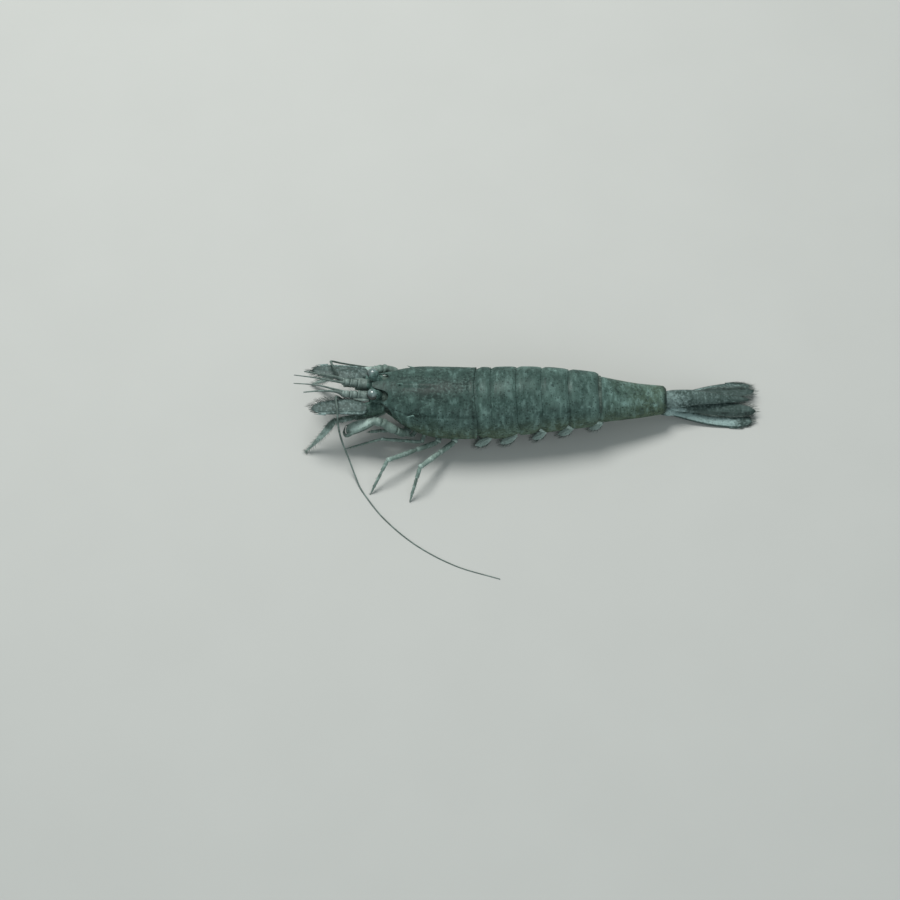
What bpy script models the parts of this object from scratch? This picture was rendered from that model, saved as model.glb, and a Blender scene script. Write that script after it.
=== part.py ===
"""A brown shrimp at life size, as a still museum model that stands on a floor at z = 0.

The animal faces -X, its right side is +Y and +Z is up. It is drawn in units of UNIT metres, with
x = 0 at the rear margin of the carapace, where the middle of the body is at y = 0. Both ends of
the body sway a little to the animal's right, and the abdomen droops towards the tail fan. At the
end the whole model is moved, so that its origin is the middle of its footprint.
"""

from bisect import bisect_right
from math import copysign, cos, pi, radians, sin

import bmesh
import bpy
from mathutils import Matrix, Vector

# Driving size: from the tips of the antennal scales to the tip of the telson.
TOTAL_LENGTH = 0.080
DRAWN_LENGTH = 91.2
UNIT = TOTAL_LENGTH / DRAWN_LENGTH
GAP = 0.0003 / UNIT  # the thin cut between neighbouring parts
THINNEST = 0.00025 / UNIT  # half the least thickness of a feeler or a leg

LEFT, RIGHT = -1, 1
SIDE_NAMES = {LEFT: "left", RIGHT: "right"}

# Lengths along the body.
CARAPACE_FRONT = -18.8
ROSTRUM_TIP = -21.6
SOMITE_LENGTHS = (2.7, 5.2, 5.2, 5.6, 6.3)
SIXTH_END = 39.4
TELSON_TIP = 57.2

# The body's shape, as (x, value) keys that along() joins smoothly.
SWAY = (
    (-36, 1.7), (-26, 1.35), (-20, 1.0), (-13, 0.45), (-5, 0.0), (1, 0.0), (8, 0.38),
    (15, 0.72), (20, 0.92), (26, 1.1), (33, 1.55), (39.5, 2.45), (48, 3.45), (58, 4.05),
)
TOP = (
    (-18.8, 12.9), (-14, 13.7), (-6, 14.4), (0, 14.3), (8, 14.4), (14, 14.1), (19.3, 13.3), (25, 12.1),
)
WIDE = ((-18.8, 9.7), (-10, 7.9), (0, 7.6), (12, 7.7), (19, 7.7), (25, 7.5))
HALF_WIDTH = (
    (-18.8, 4.5), (-16, 5.7), (-12.5, 6.7), (-8, 7.2), (0, 7.2), (4, 7.03), (8, 6.85),
    (15, 6.38), (20, 5.85), (25, 5.4),
)
CARAPACE_EDGE = ((-18.8, 8.8), (-16, 7.0), (-13.5, 5.5), (-10, 4.3), (-6, 3.9), (0, 3.9))
PLEURA_EDGE = ((0, 4.4), (4, 4.0), (12, 4.1), (20, 4.3), (25, 4.5))
BELLY_HALF_WIDTH = ((-18.6, 2.7), (-15, 3.2), (-12, 3.8), (-8, 4.0), (0, 3.7))
BELLY_TOP = ((-18.6, 9.0), (-16, 7.3), (-13.5, 5.9), (-10, 4.8), (0, 4.5))
BELLY_BOTTOM = ((-18.6, 5.0), (-16, 3.7), (-13.5, 2.8), (-10, 2.4), (0, 2.4))
SIXTH_TOP = ((25, 11.2), (33, 8.9), (39.5, 7.1))
SIXTH_BOTTOM = ((25, 3.1), (33, 2.3), (39.5, 1.8))
SIXTH_HALF_WIDTH = ((25, 5.1), (28, 4.6), (33, 3.8), (39.5, 2.95))

# The section of a plate.
ARCH_POINTS = 19
TUCK = radians(118)  # how far round, from the top, a plate's lower edge is
ROUNDNESS = 0.9  # 1 is an ellipse, less is boxier
PLATE_WALL = 1.0
SHINGLE = 0.35  # how far each ring's rear edge stands over the next one's front

# Where limbs and feelers leave the body, as (x, distance from the body's middle line, z).
EYE = (-21.4, 2.5, 12.9)
FEELER_ROOT = (-22.7, 1.25, 10.5)
SCALE_ROOT = (-22.7, 4.2, 10.1)
WHIP_ROOT = (-22.7, 2.9, 8.3)
CLAW_LEG_ROOT = (-13.6, 4.5, 3.6)
SECOND_LEG_ROOT = (-12.0, 4.6, 2.9)
MOUTH_LIMB_ROOT = (-19.2, 1.8, 5.9)
TELSON_ROOT = (39.95, 0, 5.2)
EXOPOD_ROOT = (40.4, 1.95, 2.0)
EXOPOD_SPREAD = {LEFT: 0.55, RIGHT: 0.4}
ENDOPOD_ROOT = (40.5, 1.3, 3.25)

# The legs that stand on the floor: number, side, x of the hip, x of the bend under the
# carapace's edge, knee, foot and thickness.
STANDING_LEGS = (
    (3, LEFT, -10.3, -11.4, (-19.7, -7.4, 5.3), (-27.5, -6.8, 0), 0.36),
    (4, LEFT, -7.4, -8.1, (-18.4, -12.3, 5.0), (-22.0, -17.6, 0), 0.52),
    (5, LEFT, -4.2, -4.7, (-11.7, -14.2, 5.5), (-13.9, -19.4, 0), 0.56),
    (3, RIGHT, -10.3, -11.4, (-19.0, 9.3, 5.2), (-26.2, 9.7, 0), 0.36),
    (4, RIGHT, -7.4, -8.1, (-15.8, 9.6, 4.6), (-20.0, 10.8, 0), 0.52),
    (5, RIGHT, -4.2, -4.7, (-9.4, 9.5, 4.4), (-11.8, 10.9, 0), 0.56),
)
# Tips of the swimming limbs: each one's place behind the rear end of its ring, and its distance
# from the middle line.
PLEOPOD_TIPS = ((-3.05, 6.2), (-3.05, 5.9), (-1.6, 5.1), (-1.8, 4.4), (-1.7, 3.2))
MOUTH_LIMB_TIPS = {LEFT: (-35.7, -7.6, 0), RIGHT: (-34.9, 9.0, 0)}

# The long feelers' whips rise in front of the scales, come down at the side and end on the floor.
WHIPS = {
    LEFT: (
        (-28.6, -4.0, 12.0), (-28.4, -6.6, 9.4), (-27.8, -8.3, 6.2), (-26.5, -10.6, 3.2),
        (-25.1, -13.7, 1.2), (-23.4, -17.2, 0.35), (-19, -23.3, 0.35), (-12.5, -29.3, 0.35),
        (-4.5, -34, 0.35), (4.5, -37, 0.35),
    ),
    RIGHT: (
        (-30.0, 6.6, 12.1), (-30.2, 9.2, 8.9), (-28.2, 10.9, 5.4), (-24.5, 12.0, 2.6),
        (-19, 12.4, 0.7), (-10, 12.4, 0.35), (1, 12.4, 0.35), (12, 12.4, 0.35), (23, 12.4, 0.35),
    ),
}


def along(keys, place):
    """The value at a place on a smooth line through (place, value) keys."""
    places = [key[0] for key in keys]
    i = min(max(bisect_right(places, place) - 1, 0), len(keys) - 2)
    (start, a), (end, b) = keys[i], keys[i + 1]

    def slope(j):
        before, after = keys[max(j - 1, 0)], keys[min(j + 1, len(keys) - 1)]
        return (after[1] - before[1]) / (after[0] - before[0])

    span = end - start
    t = min(max((place - start) / span, 0.0), 1.0)
    u = 1 - t
    bend = t * u * span * (slope(i) * u - slope(i + 1) * t)
    return a * u * u * (1 + 2 * t) + b * t * t * (3 - 2 * t) + bend


def beside(points, side=RIGHT):
    """Points given as (x, distance from the body's middle line, z), on one side of the body."""
    return [Vector((x, along(SWAY, x) + side * off, z)) for x, off, z in points]


def smooth_path(points, steps):
    """A path with some steps to each span, on a smooth line through the points."""
    routes = [[(k, point[axis]) for k, point in enumerate(points)] for axis in range(3)]
    count = (len(points) - 1) * steps
    return [Vector([along(route, k / steps) for route in routes]) for k in range(count + 1)]


def split(start, end, fractions):
    """Points at some fractions of a straight run."""
    return [Vector(start).lerp(Vector(end), fraction) for fraction in fractions]


# Materials


def make_material(name, colour, roughness, coat=0.0):
    material = bpy.data.materials.new(name)
    material.use_nodes = True
    shader = material.node_tree.nodes["Principled BSDF"]
    shader.inputs["Base Color"].default_value = (*colour, 1)
    shader.inputs["Roughness"].default_value = roughness
    shader.inputs["Metallic"].default_value = 0.0
    shader.inputs["Coat Weight"].default_value = coat
    material.diffuse_color = (*colour, 1)
    return material


# Objects


def clear_scene():
    for obj in list(bpy.data.objects):
        bpy.data.objects.remove(obj)


def make_collection(name):
    collection = bpy.data.collections.new(name)
    bpy.context.scene.collection.children.link(collection)
    return collection


def turn_outwards(mesh, weld=False):
    """Turns a closed mesh's faces outwards, and joins its doubled points when asked."""
    shell = bmesh.new()
    shell.from_mesh(mesh)
    if weld:
        bmesh.ops.remove_doubles(shell, verts=shell.verts, dist=1e-6)
    bmesh.ops.recalc_face_normals(shell, faces=shell.faces)
    shell.to_mesh(mesh)
    shell.free()


def loft(name, rings):
    """A closed skin over rings of equal counts of points, with a flat cap at each end."""
    count = len(rings[0])
    points = [Vector(point) * UNIT for ring in rings for point in ring]
    faces = [tuple(range(count)), tuple(range(len(points) - count, len(points)))]
    for start in range(0, len(points) - count, count):
        for k in range(count):
            after = (k + 1) % count
            faces.append((start + k, start + after, start + count + after, start + count + k))
    mesh = bpy.data.meshes.new(name)
    mesh.from_pydata(points, [], faces)
    turn_outwards(mesh)
    return bpy.data.objects.new(name, mesh)


def tube(name, path, radii, roundness=2):
    """A round tube along a path, with one radius for each point. It has 4 + 2 * roundness sides."""
    curve = bpy.data.curves.new(name, "CURVE")
    curve.dimensions = "3D"
    curve.bevel_depth = UNIT
    curve.bevel_resolution = roundness
    curve.use_fill_caps = True
    spline = curve.splines.new("POLY")
    spline.points.add(len(path) - 1)
    for point, place, radius in zip(spline.points, path, radii):
        point.co = (*(Vector(place) * UNIT), 1)
        point.radius = radius
    guide = bpy.data.objects.new(name + "_line", curve)
    bpy.context.scene.collection.objects.link(guide)
    graph = bpy.context.evaluated_depsgraph_get()
    mesh = bpy.data.meshes.new_from_object(guide.evaluated_get(graph))
    bpy.data.objects.remove(guide)
    turn_outwards(mesh, weld=True)
    return bpy.data.objects.new(name, mesh)


def flatten_on_floor(obj):
    """Cuts off what is below the floor, so that the piece rests on a small flat."""
    shell = bmesh.new()
    shell.from_mesh(obj.data)
    everything = [*shell.verts, *shell.edges, *shell.faces]
    cut = bmesh.ops.bisect_plane(
        shell, geom=everything, dist=1e-6, plane_co=(0, 0, 0), plane_no=(0, 0, 1), clear_inner=True
    )
    rim = [item for item in cut["geom_cut"] if isinstance(item, bmesh.types.BMEdge)]
    bmesh.ops.holes_fill(shell, edges=rim)
    bmesh.ops.recalc_face_normals(shell, faces=shell.faces)
    shell.to_mesh(obj.data)
    shell.free()


def blade(name, path, outer, inner, thickness, side, roll=0.0, edge_points=10):
    """A leaf-shaped plate along a path, with its own outline on each edge.

    outer and inner give the distance from the path to each edge, and thickness the plate's, each
    as keys over 0 to 1. The roll, in degrees, lowers the outer edge.
    """
    widest = cos(pi / edge_points)
    tilt = radians(roll)
    rings = []
    for k, place in enumerate(path):
        t = k / (len(path) - 1)
        ahead = path[min(k + 1, len(path) - 1)] - path[max(k - 1, 0)]
        across = ahead.cross(Vector((0, 0, 1))).normalized()
        if across.y * side < 0:
            across.negate()
        up = ahead.cross(across).normalized()
        if up.z < 0:
            up.negate()
        wide = across * cos(tilt) - up * sin(tilt)
        high = up * cos(tilt) + across * sin(tilt)
        ring = []
        for j in range(edge_points):
            turn = 2 * pi * (j + 0.5) / edge_points
            edge = along(outer if cos(turn) > 0 else inner, t)
            reach = edge * cos(turn) / widest
            rise = along(thickness, t) / 2 * sin(turn)
            ring.append(place + wide * reach + high * rise)
        rings.append(ring)
    return loft(name, rings)


class Model:
    """The collections, the root empty that every part is placed under, and the list of parts."""

    def __init__(self, name):
        self.parts = make_collection(name)
        self.helpers = make_collection(name + "_joined")
        self.root = bpy.data.objects.new(name + "_root", None)
        self.parts.objects.link(self.root)
        self.nodes = []

    def add(self, obj, material, origin):
        """Adds a part, with its own origin where it joins the body."""
        centre = Vector(origin) * UNIT
        obj.data.transform(Matrix.Translation(-centre))
        obj.location = centre
        obj.data.materials.clear()
        obj.data.materials.append(material)
        obj.data.shade_smooth()
        obj.data.set_sharp_from_angle(angle=radians(40))
        obj.parent = self.root
        self.parts.objects.link(obj)
        self.nodes.append(obj)
        return obj

    def join(self, whole, pieces):
        """Unites pieces with a part by Booleans."""
        for piece in pieces:
            self.helpers.objects.link(piece)
            piece.hide_render = True
            piece.display_type = "WIRE"
            piece.parent = self.root
            union = whole.modifiers.new("join_" + piece.name, "BOOLEAN")
            union.operation = "UNION"
            union.solver = "EXACT"
            union.object = piece

    def settle(self):
        """Moves the model so that its origin is the bottom centre of its box."""
        bpy.context.view_layer.update()
        low, high = Vector((1, 1, 1)), Vector((-1, -1, -1))
        for obj in [*self.nodes, *self.helpers.objects]:
            for vertex in obj.data.vertices:
                corner = obj.matrix_world @ vertex.co
                low = Vector(map(min, low, corner))
                high = Vector(map(max, high, corner))
        self.root.location = (-(low.x + high.x) / 2, -(low.y + high.y) / 2, -low.z)


# Head and trunk


def plate_ring(x, half_width, top, wide, edge, ceiling):
    """A plate's section at x: an arch from its left edge to its right, and back under the body."""
    sway = along(SWAY, x)
    ring = []
    for i in range(ARCH_POINTS):
        turn = TUCK * (2 * i / (ARCH_POINTS - 1) - 1)
        y = half_width * copysign(abs(sin(turn)) ** ROUNDNESS, turn)
        lift = cos(turn)
        if lift >= 0:
            z = wide + (top - wide) * lift**ROUNDNESS
        else:
            z = wide + (wide - edge) * lift / -cos(TUCK)
        ring.append((x, y + sway, z))
    outside = half_width * sin(TUCK) ** ROUNDNESS
    wall = min(PLATE_WALL, 0.4 * outside)
    lip, corner = outside - wall, outside - 1.5 * wall
    lip_height = edge + 0.1 * (ceiling - edge)
    inside = ((lip, lip_height), (corner, ceiling), (-corner, ceiling), (-lip, lip_height))
    return ring + [(x, y + sway, z) for y, z in inside]


def oval_ring(x, half_width, bottom, top, points=16):
    """A round section at x."""
    sway = along(SWAY, x)
    middle = (top + bottom) / 2
    half_height = (top - bottom) / 2
    ring = []
    for j in range(points):
        turn = 2 * pi * j / points
        ring.append((x, sway + half_width * cos(turn), middle + half_height * sin(turn)))
    return ring


def carapace():
    """The shield over head and thorax, open below, with a short flat rostrum between the eyes."""
    rings = []
    for x in (ROSTRUM_TIP, -20.6, -19.5):
        t = (x - ROSTRUM_TIP) / (CARAPACE_FRONT - ROSTRUM_TIP)
        rings.append(plate_ring(x, 0.75 + 0.65 * t, 12.8 + 0.1 * t, 12.5, 12.2, 12.3))
    for x in (CARAPACE_FRONT, -17.8, -16.2, -14, -12, -9, -6, -3, -1, 0):
        half_width, top, wide = along(HALF_WIDTH, x), along(TOP, x), along(WIDE, x)
        edge = along(CARAPACE_EDGE, x)
        rings.append(plate_ring(x, half_width, top, wide, edge, edge + 1.1))
    return loft("carapace", rings)


def thorax_underside():
    """The mouth field and the floor of the thorax, which carry the legs."""
    rings = []
    for x in (-18.6, -16.5, -14, -11, -8, -4, -GAP):
        bottom, top = along(BELLY_BOTTOM, x), along(BELLY_TOP, x)
        rings.append(oval_ring(x, along(BELLY_HALF_WIDTH, x), bottom, top))
    return loft("thorax_underside", rings)


def head_front():
    """The block behind the eyes and feelers, in front of the carapace."""
    back = CARAPACE_FRONT - 2.8 * GAP
    stations = ((back, 3.4, 8.2, 11.3), (-20.6, 3.9, 7.5, 11.5), (-22.3, 3.5, 7.7, 11.4))
    return loft("head_front", [oval_ring(*station) for station in stations])


def somite(number, start, end):
    """One of the first five rings of the abdomen, whose sides hang down as pleura."""
    rings = []
    # Along the ring: fraction of its length, how far it is sunk, and how far its edge is raised.
    for fraction, sunk, raised in ((0, SHINGLE, 1.5), (0.2, 0.1, 0.5), (0.6, 0, 0), (1, 0, 0.8)):
        x = start + (end - start) * fraction
        half_width, top = along(HALF_WIDTH, x) - sunk, along(TOP, x) - sunk
        lowest = along(PLEURA_EDGE, x)
        rings.append(
            plate_ring(x, half_width, top, along(WIDE, x), lowest + raised, lowest + 1.9)
        )
    return loft(f"somite_{number}", rings)


def sixth_somite(start):
    """The long last ring of the abdomen, which narrows to the tail fan."""
    rings = []
    for x in (start, start + 1, start + 3, 32, 36, SIXTH_END - 1, SIXTH_END):
        sunk = SHINGLE if x in (start, SIXTH_END) else 0.0
        half_width, top = along(SIXTH_HALF_WIDTH, x) - sunk, along(SIXTH_TOP, x) - sunk
        rings.append(oval_ring(x, half_width, along(SIXTH_BOTTOM, x), top, 18))
    return loft("somite_6", rings)


# Tail fan


def telson():
    """The middle blade of the tail fan, which tapers to its tip."""
    points = [TELSON_ROOT, (45.5, 0, 4.6), (51.5, 0, 3.3), (TELSON_TIP, 0, 2.1)]
    outline = ((0, 1.9), (0.15, 2.1), (0.5, 1.5), (0.85, 0.8), (1, 0.35))
    thickness = ((0, 2.6), (0.2, 1.9), (0.6, 1.0), (1, 0.7))
    return blade("telson", smooth_path(beside(points), 3), outline, outline, thickness, RIGHT)


def uropod_exopod(side):
    """The outer blade of the tail fan, with a straight outer margin that rests on the floor."""
    spread = EXOPOD_SPREAD[side]
    points = [EXOPOD_ROOT, (44.5, 2.2 + spread / 2, 1.25), (50, 2.9 + spread, 0.75), (57.6, 3.8 + spread, 0.5)]
    outer = ((0, 0.6), (0.2, 1.2), (0.6, 1.6), (0.88, 1.3), (1, 0.5))
    inner = ((0, 0.6), (0.2, 1.1), (0.6, 1.7), (0.88, 1.3), (1, 0.5))
    thickness = ((0, 1.0), (0.3, 0.8), (1, 0.7))
    path = smooth_path(beside(points, side), 3)
    obj = blade(f"uropod_exopod_{SIDE_NAMES[side]}", path, outer, inner, thickness, side, roll=12)
    flatten_on_floor(obj)
    return obj


def uropod_endopod(side):
    """The inner blade of the tail fan, between the telson and the outer blade."""
    points = [ENDOPOD_ROOT, (45.5, 1.6, 2.7), (50.5, 2.0, 2.05), (58.4, 2.5, 1.5)]
    outline = ((0, 0.6), (0.3, 1.1), (0.65, 1.35), (0.9, 0.8), (1, 0.35))
    thickness = ((0, 0.9), (0.3, 0.7), (1, 0.65))
    path = smooth_path(beside(points, side), 3)
    name = f"uropod_endopod_{SIDE_NAMES[side]}"
    return blade(name, path, outline, outline, thickness, side, roll=14)


# Eyes and feelers


def eye(side):
    """A stalked eye that looks up, out and forwards over the front of the head."""
    shell = bmesh.new()
    bmesh.ops.create_uvsphere(shell, u_segments=12, v_segments=8, radius=1.22 * UNIT)
    for vertex in shell.verts:
        vertex.co.z *= 1.1
    bmesh.ops.translate(shell, verts=shell.verts, vec=beside([EYE], side)[0] * UNIT)
    name = f"eye_{SIDE_NAMES[side]}"
    mesh = bpy.data.meshes.new(name)
    shell.to_mesh(mesh)
    shell.free()
    return bpy.data.objects.new(name, mesh)


def antennule(side):
    """The upper feeler's stout stalk and, beside it, its two short whips."""
    name = f"antennule_{SIDE_NAMES[side]}"
    stalk = [FEELER_ROOT, (-24.4, 1.3, 10.7), (-24.7, 1.3, 10.75), (-27.6, 1.45, 11.2)]
    outer = [(-27.2, 1.75, 11.2), (-29, 1.75, 12.3), (-32, 2.0, 12.8), (-35.5, 2.5, 12.9)]
    inner = [(-27.2, 1.1, 11.3), (-29.5, 0.95, 12.0), (-33, 0.85, 13.2), (-37.5, 1.0, 13.9)]
    whips = []
    for label, route, girth in (("outer", outer, 0.45), ("inner", inner, 0.36)):
        path = smooth_path(beside(route, side), 3)
        radii = [max(girth * (1 - k / len(path)), THINNEST) for k in range(len(path))]
        whips.append(tube(f"{name}_{label}", path, radii, 1))
    return tube(name, beside(stalk, side), [0.9, 0.95, 0.8, 0.62]), whips


def antennal_scale(side):
    """The leaf that covers the long feeler's stalk, straight outside and rounded inside."""
    points = [SCALE_ROOT, (-27, 4.4, 10.4), (-34, 4.6, 10.2)]
    outer = ((0, 0.9), (0.15, 1.5), (0.6, 1.5), (0.9, 1.1), (1, 0.5))
    inner = ((0, 0.9), (0.2, 1.6), (0.6, 1.75), (0.85, 1.4), (1, 0.4))
    thickness = ((0, 0.9), (0.2, 0.7), (1, 0.6))
    path = smooth_path(beside(points, side), 4)
    return blade(f"antennal_scale_{SIDE_NAMES[side]}", path, outer, inner, thickness, side, roll=4)


def antenna(side):
    """The long feeler: a stalk under the scale, and a whip that bends down to the floor."""
    stalk = beside(
        [WHIP_ROOT, (-24.2, 2.85, 8.5), (-24.5, 2.8, 8.5), (-26.9, 2.4, 8.9), (-27.6, 2.3, 9.1)], side
    )
    rise = beside([(-28.5, 2.0, 10.4), (-28.9, 3.0, 11.9)], side)
    whip = smooth_path([stalk[-1], *rise, *(Vector(point) for point in WHIPS[side])], 3)[1:]
    girths = [1.0, 0.95, 0.8, 0.7, 0.5]
    girths += [max(0.42 - 0.2 * k / len(whip), THINNEST) for k in range(len(whip))]
    return tube(f"antenna_{SIDE_NAMES[side]}", stalk + whip, girths, 1)


# Limbs


def limb(name, joints, girths):
    """A jointed limb. Each segment swells in its middle and is narrow at its ends."""
    path, radii = [], []
    for start, end, girth in zip(joints, joints[1:], girths):
        path += split(start, end, (0.05, 0.4, 0.95))
        radii += [max(girth * share, THINNEST) for share in (0.85, 1.0, 0.75)]
    return tube(name, path, radii)


def walking_leg(number, side, hip, below_edge, knee, foot, girth):
    """A leg that leaves under the carapace, rises to its knee and comes down to the floor."""
    thigh = split(below_edge, knee, (0.42, 1.0))
    shin = split(knee, foot, (0.3, 0.75, 1.0))
    girths = [girth * share for share in (1.1, 1.0, 1.0, 0.8, 0.62, 0.5)]
    leg = limb(f"leg_{number}_{SIDE_NAMES[side]}", [hip, below_edge, *thigh, *shin], girths)
    flatten_on_floor(leg)
    return leg


def second_leg(side):
    """The thin second leg, which is folded forwards under the first."""
    joints = [SECOND_LEG_ROOT, (-13.4, 5.4, 2.3), (-18.4, 5.2, 3.3), (-20.2, 5.0, 2.8), (-23, 4.8, 1.5)]
    return limb(f"leg_2_{SIDE_NAMES[side]}", beside(joints, side), (0.42, 0.36, 0.34, 0.36))


def claw_leg(side):
    """The stout first leg and, beside it, its broad hand with a claw that folds across it."""
    name = f"leg_1_{SIDE_NAMES[side]}"
    joints = [CLAW_LEG_ROOT, (-14.8, 6.5, 5.0), (-16.6, 7.1, 6.8), (-19.4, 6.5, 8.9), (-21.4, 6.15, 8.6)]
    arm = limb(name, beside(joints, side), (0.75, 0.85, 0.95, 0.9))
    wrist, tip = beside([(-20.9, 6.2, 8.8), (-26.9, 6.4, 4.5)], side)
    palm = split(wrist, tip, [k / 7 for k in range(8)])
    width = ((0, 0.6), (0.2, 1.1), (0.6, 1.3), (0.9, 1.05), (1, 0.5))
    hand = blade(f"{name}_hand", palm, width, width, ((0, 1.3), (0.3, 2.1), (0.7, 2.2), (1, 1.1)), side)
    claw_points = [(-25.3, 7.4, 5.9), (-26.9, 7.5, 4.5), (-27.5, 6.4, 4.0), (-27.3, 5.3, 4.3)]
    claw = tube(f"{name}_claw", beside(claw_points, side), [0.4, 0.42, 0.36, THINNEST], 1)
    thumb_points = [(-25.6, 5.7, 5.4), (-27.0, 5.4, 4.7)]
    thumb = tube(f"{name}_thumb", beside(thumb_points, side), [0.5, THINNEST], 1)
    return arm, [hand, claw, thumb]


def maxilliped(side):
    """The leg-like mouth limb that reaches forward under the scales to feel the sand."""
    joints = [MOUTH_LIMB_ROOT, (-21.0, 2.6, 5.1), (-25.2, 3.7, 5.7), (-29.5, 5.6, 6.9)]
    joints = [*beside(joints, side), MOUTH_LIMB_TIPS[side]]
    obj = limb(f"maxilliped_{SIDE_NAMES[side]}", joints, (0.6, 0.7, 0.6, 0.75))
    flatten_on_floor(obj)
    return obj


def pleopod(number, side, end):
    """A swimming limb: a leaf that hangs below a ring of the abdomen, swept out and forwards."""
    tip_back, tip_out = PLEOPOD_TIPS[number - 1]
    root = (end - 1.0, max(1.5, tip_out - 2.6), along(PLEURA_EDGE, end) + 0.9)
    points = split(root, (end + tip_back, tip_out, 0.7), (0, 0.35, 0.65, 1))
    width = ((0, 0.6), (0.5, 0.95), (1, 0.4))
    path = smooth_path(beside(points, side), 2)
    name = f"pleopod_{number}_{SIDE_NAMES[side]}"
    return blade(name, path, width, width, ((0, 0.8), (1, 0.62)), side, edge_points=6)


# The whole animal


def build():
    clear_scene()
    shell = make_material("shell", (0.115, 0.130, 0.095), 0.42, 0.2)
    soft = make_material("underside", (0.270, 0.270, 0.200), 0.55)
    cornea = make_material("eye", (0.012, 0.010, 0.008), 0.12, 0.6)
    leg_shell = make_material("limb", (0.240, 0.270, 0.215), 0.40, 0.2)
    fan = make_material("fan", (0.170, 0.180, 0.135), 0.45, 0.1)
    feeler = make_material("feeler", (0.150, 0.150, 0.110), 0.5)
    shrimp = Model("shrimp")

    shrimp.add(carapace(), shell, (0, 0, 7.6))
    shrimp.add(thorax_underside(), soft, (-9, 0, 3.6))
    shrimp.add(head_front(), shell, beside([(-20.6, 0, 9.5)])[0])

    start = 0.0
    ring_ends = []
    for number, length in enumerate(SOMITE_LENGTHS, start=1):
        end = start + length
        middle = beside([((start + end) / 2, 0, 7.5)])[0]
        shrimp.add(somite(number, start + GAP, end), shell, middle)
        ring_ends.append(end)
        start = end
    shrimp.add(sixth_somite(start + GAP), shell, beside([(33, 0, 5.5)])[0])

    shrimp.add(telson(), fan, beside([TELSON_ROOT])[0])
    for side in (LEFT, RIGHT):
        shrimp.add(uropod_exopod(side), fan, beside([EXOPOD_ROOT], side)[0])
        shrimp.add(uropod_endopod(side), fan, beside([ENDOPOD_ROOT], side)[0])
        shrimp.add(eye(side), cornea, beside([EYE], side)[0])
        stalk, whips = antennule(side)
        shrimp.join(shrimp.add(stalk, feeler, beside([FEELER_ROOT], side)[0]), whips)
        shrimp.add(antennal_scale(side), fan, beside([SCALE_ROOT], side)[0])
        shrimp.add(antenna(side), feeler, beside([WHIP_ROOT], side)[0])
        shrimp.add(maxilliped(side), leg_shell, beside([MOUTH_LIMB_ROOT], side)[0])
        arm, hand = claw_leg(side)
        shrimp.join(shrimp.add(arm, leg_shell, beside([CLAW_LEG_ROOT], side)[0]), hand)
        shrimp.add(second_leg(side), leg_shell, beside([SECOND_LEG_ROOT], side)[0])
        for number, end in enumerate(ring_ends, start=1):
            root = beside([(end - 1.0, 2.8, 5)], side)[0]
            shrimp.add(pleopod(number, side, end), feeler, root)

    for number, side, hip_x, edge_x, knee, foot, girth in STANDING_LEGS:
        hip = (hip_x, side * 4.5, 3.0)
        below_edge = (edge_x, side * 6.7, 2.8)
        shrimp.add(walking_leg(number, side, hip, below_edge, knee, foot, girth), leg_shell, hip)
    shrimp.settle()


build()
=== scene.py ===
# %% [markdown]
# # A brown shrimp, dressed as a museum model
# The imported solids give each part of the animal its place and size. This lesson replaces their
# coarse faces with finely modelled shell plates, limbs, feelers and fringes of hair, and gives
# each of them a finish made of nodes. Nothing moves here: the solids stay underneath, and each
# new piece hides the ones that it stands for.

# %% Load the frame
from math import cos, pi, radians, sin

import bmesh
import bpy
import numpy as np
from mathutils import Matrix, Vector

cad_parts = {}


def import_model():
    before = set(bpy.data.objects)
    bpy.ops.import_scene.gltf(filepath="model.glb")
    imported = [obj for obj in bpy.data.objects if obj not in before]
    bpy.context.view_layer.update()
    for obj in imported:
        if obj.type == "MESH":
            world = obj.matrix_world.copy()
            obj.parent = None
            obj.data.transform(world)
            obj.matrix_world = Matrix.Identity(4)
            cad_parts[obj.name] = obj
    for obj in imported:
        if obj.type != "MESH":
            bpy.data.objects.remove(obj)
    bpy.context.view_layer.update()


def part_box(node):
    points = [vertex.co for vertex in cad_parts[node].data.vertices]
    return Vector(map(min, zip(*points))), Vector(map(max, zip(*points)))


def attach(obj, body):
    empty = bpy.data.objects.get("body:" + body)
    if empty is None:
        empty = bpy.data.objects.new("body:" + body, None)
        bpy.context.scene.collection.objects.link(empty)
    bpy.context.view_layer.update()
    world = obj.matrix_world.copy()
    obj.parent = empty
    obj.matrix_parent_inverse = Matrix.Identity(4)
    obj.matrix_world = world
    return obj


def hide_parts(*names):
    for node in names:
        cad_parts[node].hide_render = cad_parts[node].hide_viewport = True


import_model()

# %% [markdown]
# A shrimp is drawn most easily in its own terms: distances from the rear edge of the carapace,
# in small units of a bit under a millimetre. The carapace's own box tells how long that unit is
# and where the rear edge lies, so the drawing always fits the solids. Arrays of points are kept
# in these units, and only the last step turns them into metres.

# %% The drawing's unit and origin
CARAPACE_UNITS = 21.6  # from the tip of the rostrum to the rear edge
MM = 0.001
LEFT, RIGHT = -1, 1
SIDES = {LEFT: "left", RIGHT: "right"}

carapace_low, carapace_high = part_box("carapace")
ring_low, ring_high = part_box("somite_1")
UNIT = (carapace_high.x - carapace_low.x) / CARAPACE_UNITS
HOME = np.array((carapace_high.x, (ring_low.y + ring_high.y) / 2, 0.0))
print("unit: %.4f mm" % (UNIT * 1000))


def world(points):
    """Points in drawing units, as metres in the frame."""
    return np.asarray(points, float) * UNIT + HOME


# %% [markdown]
# The body has no straight lines, so each of its outlines is a short list of keys that a smooth
# curve joins: how far the middle line sways, how high and wide the trunk is, and where the lower
# edges of the plates run. Each key is a place behind the carapace's rear edge and a measure there.

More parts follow.
